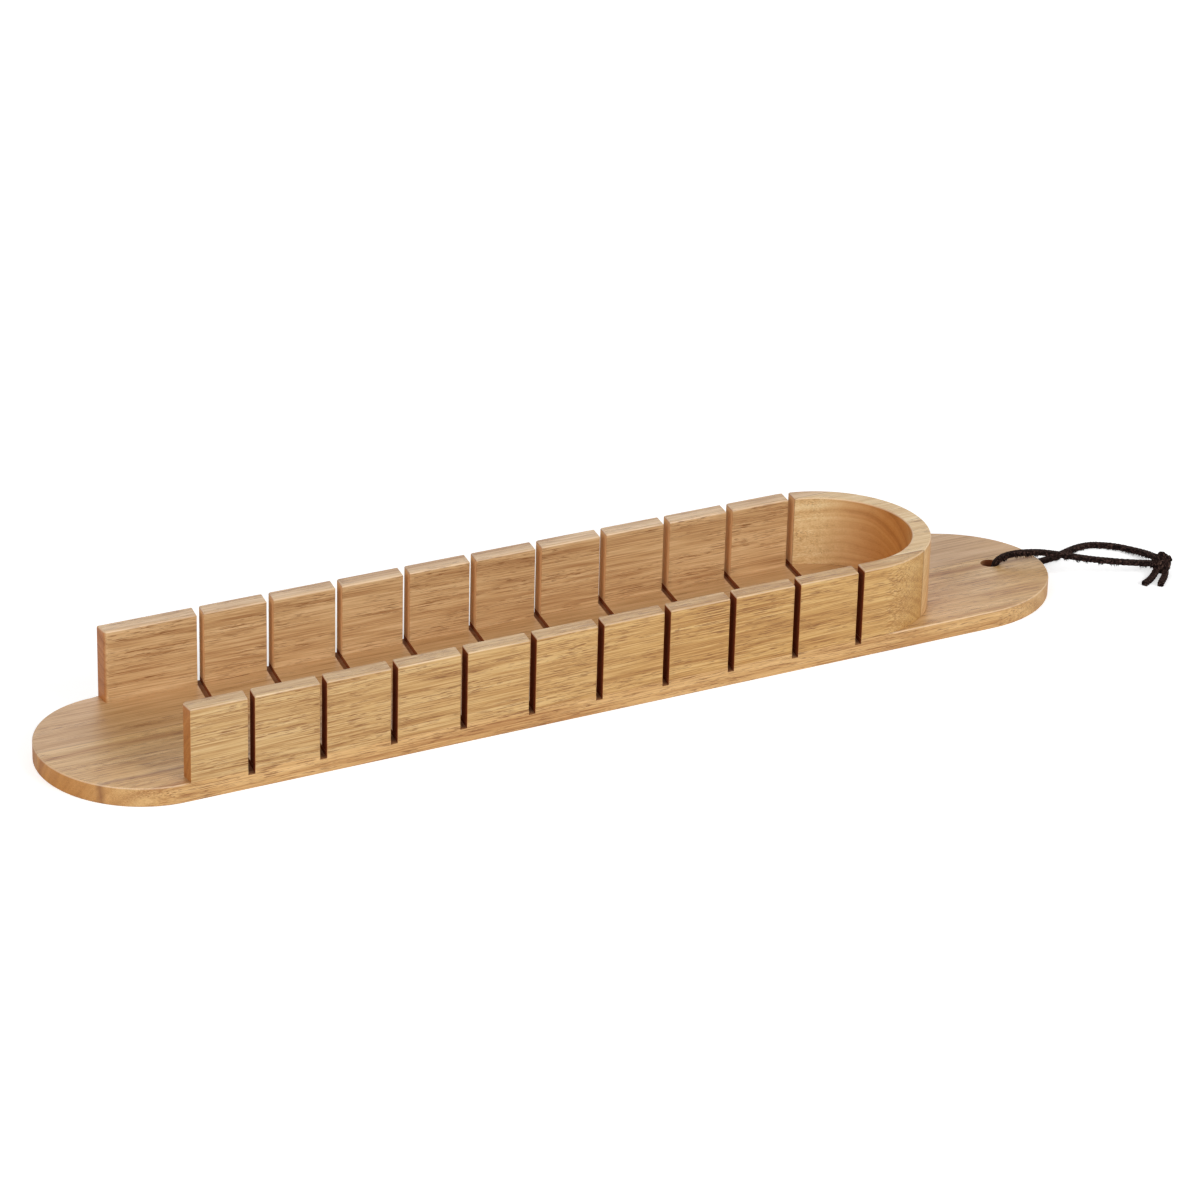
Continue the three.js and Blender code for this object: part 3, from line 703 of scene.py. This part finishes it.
def rubberwood(name, pith, turn, pale, straw, dark, pore_share, glue_lines=(), veins=(),
               heart=None, scorch_and_shade_colour="#74371f", end_colour="#dd9f4c", ring_spacing=4.6 * MM,
               contrast=1.0):
    """Solid wood about a pith line: rings by distance from it, streaks and pores stretched along
    it. pith is the line's Y and Z and a shift along it, in metres, and turn its small turns about Y
    and Z, in degrees. A face that crosses the grain is darker, and one that the saw left is darker
    still, by its scorch and by painted shade. pore_share says how many pores show, from 0 to 1.
    Each glue line is the Y of a joint, and each vein the Y and half width of a dark streak. heart
    gives the X from which and to which the wood turns warmer, towards heartwood,
    scorch_and_shade_colour the colour of the saw's scorch in its cuts with painted shade laid in,
    and end_colour what end grain is tinted with. ring_spacing is the mean width of a year's growth,
    and contrast how strongly light and dark wood differ."""
    material, tree, shader = new_material(name, {"IOR": 1.5})
    lay = partial(lay_node, tree)
    place = lay("ShaderNodeTexCoord").outputs["Object"]
    in_board = lay("ShaderNodeSeparateXYZ", links={"Vector": place})
    log = lay("ShaderNodeMapping", {
        "Location": (pith[2], -pith[0], -pith[1]),
        "Rotation": (0, math.radians(turn[0]), math.radians(turn[1])),
    }, {"Vector": place}).outputs["Vector"]

    def grain_noise(along, across, detail):
        """Noise stretched along the log."""
        stretched = lay("ShaderNodeMapping", {"Scale": (1 / along, 1 / across, 1 / across)},
                        {"Vector": log})
        return lay("ShaderNodeTexNoise", {"Scale": 1, "Detail": detail, "Roughness": 0.6},
                   {"Vector": stretched.outputs["Vector"]}).outputs

    def off_line(across, line):
        """How far a place across the board lies from a line along it."""
        off = lay("ShaderNodeMath", {"operation": "SUBTRACT", 1: line}, {0: across})
        return lay("ShaderNodeMath", {"operation": "ABSOLUTE"}, {0: off.outputs[0]}).outputs[0]

    # Which way the surface faces: end_on and cut_short are 0 on a face along the grain and 1 on
    # one across it.
    surface = lay("ShaderNodeNewGeometry").outputs
    facing = lay("ShaderNodeSeparateXYZ", links={"Vector": surface["Normal"]})
    from_side = lay("ShaderNodeMath", {"operation": "ABSOLUTE"}, {0: facing.outputs["X"]})
    end_on = lay("ShaderNodeMapRange", END_GRAIN, {"Value": from_side.outputs[0]}).outputs[0]
    cut_short = lay("ShaderNodeMapRange", SHORT_GRAIN, {"Value": from_side.outputs[0]}).outputs[0]

    # The log: distance from its pith, which sways along it, gives the rings.
    sway = lay("ShaderNodeVectorMath", {"operation": "SUBTRACT", 1: (0.5, 0.5, 0.5)},
               {0: grain_noise(*SWAY)["Color"]})
    swayed = lay("ShaderNodeVectorMath", {
        "operation": "MULTIPLY_ADD", 1: (0, SWAY_WIDTH, SWAY_WIDTH)}, {0: sway.outputs[0], 2: log})
    flat = lay("ShaderNodeVectorMath", {"operation": "MULTIPLY", 1: (0, 1, 1)},
               {0: swayed.outputs[0]})
    radius = lay("ShaderNodeVectorMath", {"operation": "LENGTH"}, {0: flat.outputs[0]})
    years = lay("ShaderNodeMath", {"operation": "MULTIPLY", 1: 1 / ring_spacing},
                {0: radius.outputs["Value"]})
    rings = lay("ShaderNodeTexNoise", {
        "noise_dimensions": "1D", "Scale": 1, "Detail": 2.5, "Roughness": 0.6,
    }, {"W": years.outputs[0]})

    # Tone: the middle one, and what the rings and each set of streaks add to it or take away.
    patterns = [(rings.outputs["Fac"], *RING_WEIGHTS, end_on)]
    for along, across, detail, weight in STREAKS:
        streaks = grain_noise(along, across, detail)["Fac"]
        patterns.append((streaks, weight, SHORT_STREAKS * weight, cut_short))
    tone_so_far = {}
    for pattern, weight_along, weight_across, turned_across in patterns:
        off_middle = lay("ShaderNodeMath", {"operation": "SUBTRACT", 1: 0.5}, {0: pattern})
        weight = lay("ShaderNodeMapRange", {"To Min": weight_along, "To Max": weight_across},
                     {"Value": turned_across})
        tone = lay("ShaderNodeMath", {"operation": "MULTIPLY_ADD", 2: 0.5},
                   {0: off_middle.outputs[0], 1: weight.outputs[0], **tone_so_far}).outputs[0]
        tone_so_far = {2: tone}
    tone = lay("ShaderNodeMath", {
        "operation": "MULTIPLY_ADD", 1: contrast, 2: 0.5 - 0.5 * contrast}, {0: tone}).outputs[0]
    colours = lay("ShaderNodeValToRGB", links={"Fac": tone})
    ramp = colours.color_ramp
    ramp.elements[0].color, ramp.elements[1].color = linear(pale), linear(dark)
    ramp.elements.new(0.5).color = linear(straw)

    # Layers of colour on the bare wood, from first to last: where each lies, and what it is.
    layers = []
    if heart:
        warmer = lay("ShaderNodeMapRange", {"From Min": heart[0], "From Max": heart[1]},
                     {"Value": in_board.outputs["X"]})
        layers.append((warmer.outputs[0], *HEARTWOOD))
    if veins:
        wave = lay("ShaderNodeMath", {"operation": "SUBTRACT", 1: 0.5},
                   {0: grain_noise(*VEIN_WAVE)["Fac"]})
        wavy = lay("ShaderNodeMath", {"operation": "MULTIPLY_ADD", 1: VEIN_WAVE_WIDTH},
                   {0: wave.outputs[0], 2: in_board.outputs["Y"]})
        fade = lay("ShaderNodeMapRange", VEINS_FADE, {"Value": in_board.outputs["X"]})
    for vein, half_width in veins:
        in_vein = lay("ShaderNodeMapRange", {"From Min": half_width, "From Max": 0},
                      {"Value": off_line(wavy.outputs[0], vein)})
        fading = lay("ShaderNodeMath", {"operation": "MULTIPLY"},
                     {0: in_vein.outputs[0], 1: fade.outputs[0]})
        layers.append((fading.outputs[0], *VEIN))
    lines = [lay("ShaderNodeMapRange", {"From Min": threshold, "From Max": threshold + PORE_EDGE},
                 {"Value": grain_noise(length, width, 1)["Fac"]}).outputs[0]
             for length, width, threshold in PORES]
    pores = lay("ShaderNodeMath", {"operation": "MAXIMUM"}, dict(enumerate(lines)))
    begin, full = (level - CROWDING_SHIFT * pore_share for level in CROWDED_PORES)
    crowded = lay("ShaderNodeMapRange", {"From Min": begin, "From Max": full,
                                         "To Min": SPARSE_PORES},
                  {"Value": grain_noise(*CROWD)["Fac"]})
    open_along = lay("ShaderNodeMapRange", {"To Min": 1, "To Max": SHORT_PORES},
                     {"Value": cut_short})
    for cover in (crowded, open_along):
        pores = lay("ShaderNodeMath", {"operation": "MULTIPLY"},
                    {0: pores.outputs[0], 1: cover.outputs[0]})
    layers.append((pores.outputs[0], *OPEN_PORE))
    layers.append((end_on, END_STRENGTH, end_colour, "MULTIPLY"))
    # Painted highlight: eased rims that face partly up are drawn paler, as where they catch the
    # light.
    slope = lay("ShaderNodeSeparateXYZ", links={"Vector": surface["True Normal"]})
    slopes = [lay("ShaderNodeMapRange", side, {"Value": slope.outputs["Z"]}).outputs[0]
              for side in RIM_SLOPES]
    rim = lay("ShaderNodeMath", {"operation": "MINIMUM"}, dict(enumerate(slopes)))
    layers.append((rim.outputs[0], *PAINTED_RIM_HIGHLIGHT))
    for joint in glue_lines:
        in_glue = lay("ShaderNodeMapRange", {"From Min": GLUE_LINE, "From Max": GLUE_LINE / 3},
                      {"Value": off_line(in_board.outputs["Y"], joint)})
        layers.append((in_glue.outputs[0], *GLUE))
    # Saw scorch with painted shade: cut faces are darkened, most in the near kerfs, which stand in
    # shadow.
    sawn = lay("ShaderNodeAttribute", {"attribute_name": "sawn"}).outputs["Fac"]
    layers.append((sawn, SCORCH_AND_SHADE_STRENGTH, scorch_and_shade_colour, "MIX"))
    colour = colours.outputs["Color"]
    for where, strength, hex_colour, kind in layers:
        cover = lay("ShaderNodeMath", {"operation": "MULTIPLY", 1: strength}, {0: where})
        colour = lay("ShaderNodeMix", {
            "data_type": "RGBA", "blend_type": kind, 7: linear(hex_colour)},
            {0: cover.outputs[0], 6: colour}).outputs[2]

    # Finish: dark wood is a little less polished, a saw cut is rough, and pores are open dents.
    polish = lay("ShaderNodeMapRange", POLISH, {"Value": tone})
    roughness = lay("ShaderNodeMath", {"operation": "MULTIPLY_ADD", 1: SAWN_ROUGHNESS},
                    {0: sawn, 2: polish.outputs[0]})
    shine = lay("ShaderNodeMapRange", SHINE, {"Value": sawn})
    height = lay("ShaderNodeMath", {"operation": "SUBTRACT"}, {0: tone, 1: pores.outputs[0]})
    bump = lay("ShaderNodeBump", {"Strength": 0.35, "Distance": PORE_DEPTH},
               {"Height": height.outputs[0]})
    for socket, output in (("Base Color", colour), ("Roughness", roughness.outputs[0]),
                           ("Specular IOR Level", shine.outputs[0]),
                           ("Normal", bump.outputs["Normal"])):
        tree.links.new(output, shader.inputs[socket])
    return material


# The near stave takes the darkest cut colour, partly painted shade in its kerf scores and hang
# hole.
near_stave_wood = rubberwood(
    "rubberwood_near_stave", (-0.095, -0.030, 0.0), (0.5, 0.4),
    "#dfb881", "#c89d64", "#a57240", 0.9,
    glue_lines=(SEAM_Y,), veins=((-0.040, 2.2 * MM),), end_colour="#e9bd66",
    ring_spacing=7.5 * MM, contrast=0.8)
far_stave_wood = rubberwood(
    "rubberwood_far_stave", (0.11, 0.03, 0.35), (-0.4, 0.7),
    "#d3ab7d", "#c49967", "#a67847", 0.3,
    glue_lines=(SEAM_Y,), scorch_and_shade_colour="#8a4b2a", end_colour="#e9bd66",
    ring_spacing=7.5 * MM, contrast=0.8)
near_stave = stave("board_near_stave", -HALF_WIDTH, SEAM_Y, near_stave_wood)
far_stave = stave("board_far_stave", SEAM_Y, HALF_WIDTH, far_stave_wood)

# Cuts in the board: the scores that the guide's saw left, the hang hole, bored and eased, the
# relief milled underneath for the thong's lower strand, and the blind bores for the dowels.
OVERRUN = 3 * MM  # how far a cutter reaches past the wood
HOLE_RADIUS = 5.3 * MM
HOLE_EASE = 0.7 * MM
HOLE_EASE_STEPS = 5
HOLE_SETBACK = 28.7 * MM
HOLE_X = HALF_LENGTH - HOLE_SETBACK
RELIEF_WIDTH = 8 * MM
RELIEF_DEPTH = 4.4 * MM
BORE_RADIUS = 2.8 * MM
BORE_SPARE = 0.3 * MM
BORE_STEPS = 24


def kerf_tool(number):
    """A kerf's slanted slot across the whole board."""
    reach = HALF_WIDTH + OVERRUN
    half = kerf_widths[number] / 2
    near_x = kerf_middles[number] - OVERRUN * SLANT_SLOPE
    far_x = near_x + 2 * reach * SLANT_SLOPE
    outline = np.array(((near_x - half, -reach), (near_x + half, -reach),
                        (far_x + half, reach), (far_x - half, reach)))
    return prism(f"kerf_{number}", outline, KERF_FLOOR, GUIDE_TOP + OVERRUN)


hole_turn = np.linspace(0, np.pi / 2, HOLE_EASE_STEPS)
hole_profile = np.concatenate((
    ((HOLE_RADIUS + HOLE_EASE, -OVERRUN),),
    np.column_stack((HOLE_RADIUS + HOLE_EASE * (1 - np.sin(hole_turn)),
                     HOLE_EASE * (1 - np.cos(hole_turn)))),
    np.column_stack((HOLE_RADIUS + HOLE_EASE * (1 - np.cos(hole_turn)),
                     BOARD_TOP - HOLE_EASE * (1 - np.sin(hole_turn)))),
    ((HOLE_RADIUS + HOLE_EASE, BOARD_TOP + OVERRUN),),
))
hole_tool = turned("hole", (HOLE_X, 0), hole_profile)
outside = LOWER_STRAND_ROUTE[LOWER_STRAND_ROUTE[:, 0] > HALF_LENGTH][0]
relief_way = np.array((outside[0] - HOLE_X, outside[1]))
relief_length = outside[0] - HOLE_X + OVERRUN
relief_way /= np.linalg.norm(relief_way)
relief_side = np.array((-relief_way[1], relief_way[0])) * RELIEF_WIDTH / 2
relief_start = np.array((HOLE_X, 0.0))
relief_end = relief_start + relief_way * relief_length
relief_outline = np.array((relief_start - relief_side, relief_end - relief_side,
                           relief_end + relief_side, relief_start + relief_side))
relief_tool = prism("relief", relief_outline, -OVERRUN, RELIEF_DEPTH)
bores = []
for name in sorted(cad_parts):
    if "dowel" in name:
        low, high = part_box(name)
        middle = ((low[0] + high[0]) / 2, (low[1] + high[1]) / 2)
        profile = ((BORE_RADIUS, low[2]), (BORE_RADIUS, high[2] + BORE_SPARE))
        bores.append((middle, turned(f"bore_{name}", middle, profile, BORE_STEPS)))


def bores_in(low, high):
    """The bores whose middle lies in a box."""
    return [tool for middle, tool in bores
            if low[0] < middle[0] < high[0] and low[1] < middle[1] < high[1]]


kerf_tools = [kerf_tool(number) for number in range(len(kerf_middles))]
take_away(near_stave, [*kerf_tools, hole_tool, relief_tool, *bores_in(near_low, near_high)])
take_away(far_stave, [*kerf_tools, relief_tool, *bores_in(far_low, far_high)])
for made, node_name in ((near_stave, "base_near_stave"), (far_stave, "base_far_stave")):
    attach(made, "root")
    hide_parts(node_name)


# Guide rails: strips of rubberwood glued along both edges, their rims eased, then sawn slantwise
# into ten blocks each. Past the last kerf a strip runs on round the turn to a glue line.
TOP_EASE = 1.0 * MM
SAWN_CORNER = 0.25 * MM
ENTRY_CORNER = 2.2 * MM
ENTRY_CORNER_STEPS = 8
ENTRY_CORNER_HOLD = 0.3 * MM
RAIL_FOOT_EASE = 0.05 * MM
TURN_FOOT_EASE = 0.25 * MM
TURN_STEPS = 240
BLOCK_STEPS = 12
RAIL_END_STEPS = 48
RAIL_SEAM = abs(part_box("near_rail_end")[1][1])


def first_block_outline(low, high, inset, side):
    """The first block from above: a square entry end, rounded on the channel side, and a slanted
    end at the kerf."""
    y = np.array((low[1] + inset, high[1] - inset))
    right = high[0] - inset / math.cos(KERF_SLANT) - (high[1] - y) * SLANT_SLOPE
    left = low[0] + inset
    radii = [SAWN_CORNER] * 4
    radii[3 if side == "near" else 0] = ENTRY_CORNER - inset
    return rounded_outline(((left, y[0]), (right[0], y[0]), (right[1], y[1]), (left, y[1])),
                           radii, ENTRY_CORNER_STEPS, ENTRY_CORNER_HOLD)


def strip_face(half_width, side, start, end, steps, glue_end=None):
    """Points along one face of a strip: straight, then round the turn to the glue line, and along
    that to glue_end, if it is given. start and end are the kerf lines that bound the face, as the
    X where each meets the near rail's outer face. A face without an end runs on to its last
    point."""
    arc = half_ellipse(TURN_CENTRE, half_width, half_width, -np.pi / 2,
                       -math.asin(RAIL_SEAM / half_width), TURN_STEPS)
    line = np.vstack(((GUIDE_START, -half_width), arc))
    if glue_end is not None:
        line = np.vstack((line, (glue_end, -RAIL_SEAM)))
    line = line * (1, -1 if side == "far" else 1)
    travel = lengths_along(line)
    kerf_line = line[:, 0] - (line[:, 1] + HALF_WIDTH) * SLANT_SLOPE
    rising = slice(0, np.argmax(kerf_line) + 1)
    first = np.interp(start, kerf_line[rising], travel[rising]) + SAWN_CORNER
    last = travel[-1]
    if end is not None:
        last = np.interp(end, kerf_line[rising], travel[rising]) - SAWN_CORNER
    stops = np.linspace(first, last, steps)
    stops = np.insert(stops, 1, first + SAWN_CORNER)
    return np.column_stack([np.interp(stops, travel, line[:, axis]) for axis in (0, 1)])


def strip_outline(inset, side, start, end, steps):
    """A strip from above, drawn in by inset, between two kerf lines or from one to the glue
    line."""
    bevel = inset / math.cos(KERF_SLANT)
    start, end = start + bevel, end - bevel if end is not None else None
    glue_end = None
    if end is None:
        glue_end = TURN_CENTRE + math.sqrt((HALF_WIDTH - inset) ** 2 - RAIL_SEAM ** 2) - SAWN_CORNER
    outer = strip_face(HALF_WIDTH - inset, side, start, end, steps)
    inner = strip_face(CHANNEL_HALF_WIDTH + inset, side, start, end, steps, glue_end)[::-1]
    across = (inner[-1] - outer[0]) / np.linalg.norm(inner[-1] - outer[0]) * SAWN_CORNER
    along = np.array((SAWN_CORNER, 0))
    kerf_face = np.array((inner[-1] - across - along, outer[0] + across - along))
    parts = [outer, inner, kerf_face]
    if end is not None:
        across = (inner[0] - outer[-1]) / np.linalg.norm(inner[0] - outer[-1]) * SAWN_CORNER
        parts.insert(1, np.array((outer[-1] + across + along, inner[0] - across + along)))
    outline = np.concatenate(parts)
    return outline[::-1] if side == "far" else outline


def eased_plate(name, outline_at, foot, material):
    """A plate from the board's top to the guide's: rings of its outline, drawn in along a quarter
    round on top and along a slight one at its foot."""
    insets, heights = ease_levels(BOARD_TOP, GUIDE_TOP, foot, TOP_EASE)
    rings = np.array([np.column_stack((outline_at(inset), np.full(len(outline_at(0)), height)))
                      for inset, height in zip(insets, heights)])
    return mesh_piece(name, rings, tube_faces(*rings.shape[:2]), material)


# The near rail keeps the darkest cut colour, painted shade for its kerfs in shadow; the far rail's
# cuts are drawn pale.
rail_woods = {
    "near": rubberwood("rubberwood_near_rail", (-0.125, -0.03, 0.9), (0.6, -0.2),
                       "#d5b582", "#c29b64", "#a37745", 0.9, glue_lines=(-RAIL_SEAM,),
                       heart=(-0.20, 0.06)),
    "far": rubberwood("rubberwood_far_rail", (0.02, 0.11, 1.7), (-0.5, 0.5),
                      "#dab688", "#c69e6e", "#a87b4f", 0.6, glue_lines=(RAIL_SEAM,),
                      scorch_and_shade_colour="#e0b685"),
}
kerf_starts, kerf_ends = kerf_middles - kerf_widths / 2, kerf_middles + kerf_widths / 2
strips = {}
for side in rail_woods:
    low, high = (np.array(corner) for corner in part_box(f"{side}_guide_block_01"))
    strips[f"{side}_guide_block_01"] = (side, RAIL_FOOT_EASE, partial(
        first_block_outline, low, high, side=side))
    for number in range(2, 11):
        strips[f"{side}_guide_block_{number:02d}"] = (side, RAIL_FOOT_EASE, partial(
            strip_outline, side=side, start=kerf_ends[number - 2], end=kerf_starts[number - 1],
            steps=BLOCK_STEPS))
    strips[f"{side}_rail_end"] = (side, TURN_FOOT_EASE, partial(
        strip_outline, side=side, start=kerf_ends[-1], end=None, steps=RAIL_END_STEPS))
for node_name, (side, foot, outline_at) in strips.items():
    made = eased_plate(f"rail_{node_name}", outline_at, foot, rail_woods[side])
    take_away(made, bores_in(*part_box(node_name)))
    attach(made, "root")
    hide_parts(node_name)


# End block: closes the turn between the two strips. The three were glued up, bandsawn to one arc
# and sanded together.
ARC_STEPS = 60


def end_block_outline(inset):
    """The outer arc about the turn's centre from seam to seam, and the inner arc back."""
    outer, inner = HALF_WIDTH - inset, CHANNEL_HALF_WIDTH + inset
    out_angle, in_angle = math.asin(RAIL_SEAM / outer), math.asin(RAIL_SEAM / inner)
    return np.concatenate((
        half_ellipse(TURN_CENTRE, outer, outer, -out_angle, out_angle, 2 * ARC_STEPS),
        half_ellipse(TURN_CENTRE, inner, inner, in_angle, -in_angle, 2 * ARC_STEPS),
    ))


end_wood = rubberwood("rubberwood_end_block", (0.03, -0.02, 2.6), (0.3, 0.6),
                      "#ead0a0", "#dcb984", "#c59d69", 0.4, glue_lines=(-RAIL_SEAM, RAIL_SEAM))
end_block = eased_plate("guide_end_block", end_block_outline, TURN_FOOT_EASE, end_wood)
take_away(end_block, [kerf_tools[-1], *bores_in(*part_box("end_block"))])
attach(end_block, "root")
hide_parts("end_block")

for tool in [*kerf_tools, hole_tool, relief_tool, *(tool for _, tool in bores)]:
    bpy.data.objects.remove(tool)


# Dowels: beech pins, glued partly into the board and partly into what stands on it. They are the
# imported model's own meshes, in plain beech with short dark flecks along its grain.
FLECK_WIDTH = 0.5 * MM
FLECK_LENGTH = 6 * MM
beech, tree, shader = new_material("beech_dowel", {"Roughness": 0.6, "IOR": 1.48})
place = lay_node(tree, "ShaderNodeTexCoord").outputs["Object"]
upright_grain = lay_node(tree, "ShaderNodeMapping", {
    "Scale": (1 / FLECK_WIDTH, 1 / FLECK_WIDTH, 1 / FLECK_LENGTH)}, {"Vector": place})
flecks = lay_node(tree, "ShaderNodeTexNoise", {"Scale": 1, "Detail": 3},
                  {"Vector": upright_grain.outputs["Vector"]})
beech_ramp = lay_node(tree, "ShaderNodeValToRGB", links={"Fac": flecks.outputs["Fac"]})
beech_ramp.color_ramp.elements[0].color = linear("#d3a878")
beech_ramp.color_ramp.elements[1].color = linear("#b98854")
tree.links.new(beech_ramp.outputs["Color"], shader.inputs["Base Color"])
for name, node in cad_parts.items():
    if "dowel" in name:
        node.data.materials.clear()
        node.data.materials.append(beech)


# Stage: a white floor that keeps the board's shadow, and plain soft light. Away from the lamps the
# floor's own lift rises, so that it stays white to its edge.
WHITE = (1, 1, 1, 1)
FLOOR_HALF = 6.0
FLOOR_LIFT = {"From Min": 0.8, "From Max": 1.6, "To Min": 0.5, "To Max": 1.0}  # by distance
SKY_ON_BOARD = 0.3
SKY_SEEN = 1
floor_material, tree, shader = new_material("white_floor", {
    "Roughness": 1, "Specular IOR Level": 0, "Base Color": linear("#eeeeee"),
    "Emission Color": WHITE,
})
rays = lay_node(tree, "ShaderNodeLightPath")
seen = lay_node(tree, "ShaderNodeMath", {"operation": "MAXIMUM"},
                {0: rays.outputs["Is Camera Ray"], 1: rays.outputs["Is Transmission Ray"]})
place = lay_node(tree, "ShaderNodeTexCoord").outputs["Object"]
from_board = lay_node(tree, "ShaderNodeVectorMath", {"operation": "LENGTH"}, {0: place})
lift = lay_node(tree, "ShaderNodeMapRange", FLOOR_LIFT, {"Value": from_board.outputs["Value"]})
seen_lift = lay_node(tree, "ShaderNodeMath", {"operation": "MULTIPLY"},
                     {0: seen.outputs[0], 1: lift.outputs[0]})
tree.links.new(seen_lift.outputs[0], shader.inputs["Emission Strength"])
floor = mesh_piece("floor", ((-FLOOR_HALF, -FLOOR_HALF, 0), (FLOOR_HALF, -FLOOR_HALF, 0),
                             (FLOOR_HALF, FLOOR_HALF, 0), (-FLOOR_HALF, FLOOR_HALF, 0)),
                   [(0, 1, 2, 3)], floor_material)

world = bpy.data.worlds.new("studio")
bpy.context.scene.world = world
world.use_nodes = True
tree = world.node_tree
tree.nodes.clear()
rays = lay_node(tree, "ShaderNodeLightPath")
seen = lay_node(tree, "ShaderNodeMath", {"operation": "MAXIMUM"},
                {0: rays.outputs["Is Camera Ray"], 1: rays.outputs["Is Glossy Ray"]})
seen = lay_node(tree, "ShaderNodeMath", {"operation": "MAXIMUM"},
                {0: seen.outputs[0], 1: rays.outputs["Is Transmission Ray"]})
dim = lay_node(tree, "ShaderNodeBackground", {"Color": WHITE, "Strength": SKY_ON_BOARD})
bright = lay_node(tree, "ShaderNodeBackground", {"Color": WHITE, "Strength": SKY_SEEN})
either = lay_node(tree, "ShaderNodeMixShader", links={
    0: seen.outputs[0], 1: dim.outputs[0], 2: bright.outputs[0]})
lay_node(tree, "ShaderNodeOutputWorld", links={"Surface": either.outputs[0]})


def softbox(name, place, size, power):
    """A square lamp at a place, turned to face the board's middle."""
    data = bpy.data.lights.new(name, "AREA")
    data.shape, data.size, data.energy = "SQUARE", size, power
    made = bpy.data.objects.new(name, data)
    made.location = place
    made.rotation_euler = Vector(place).to_track_quat("Z", "Y").to_euler()
    bpy.context.scene.collection.objects.link(made)


softbox("left", (-1.75, -1.05, 1.05), 1.2, 24)
softbox("right", (0.8, -1.75, 1.1), 1.2, 26.5)
softbox("back", (0.7, 1.9, 1.2), 1.6, 8.5)
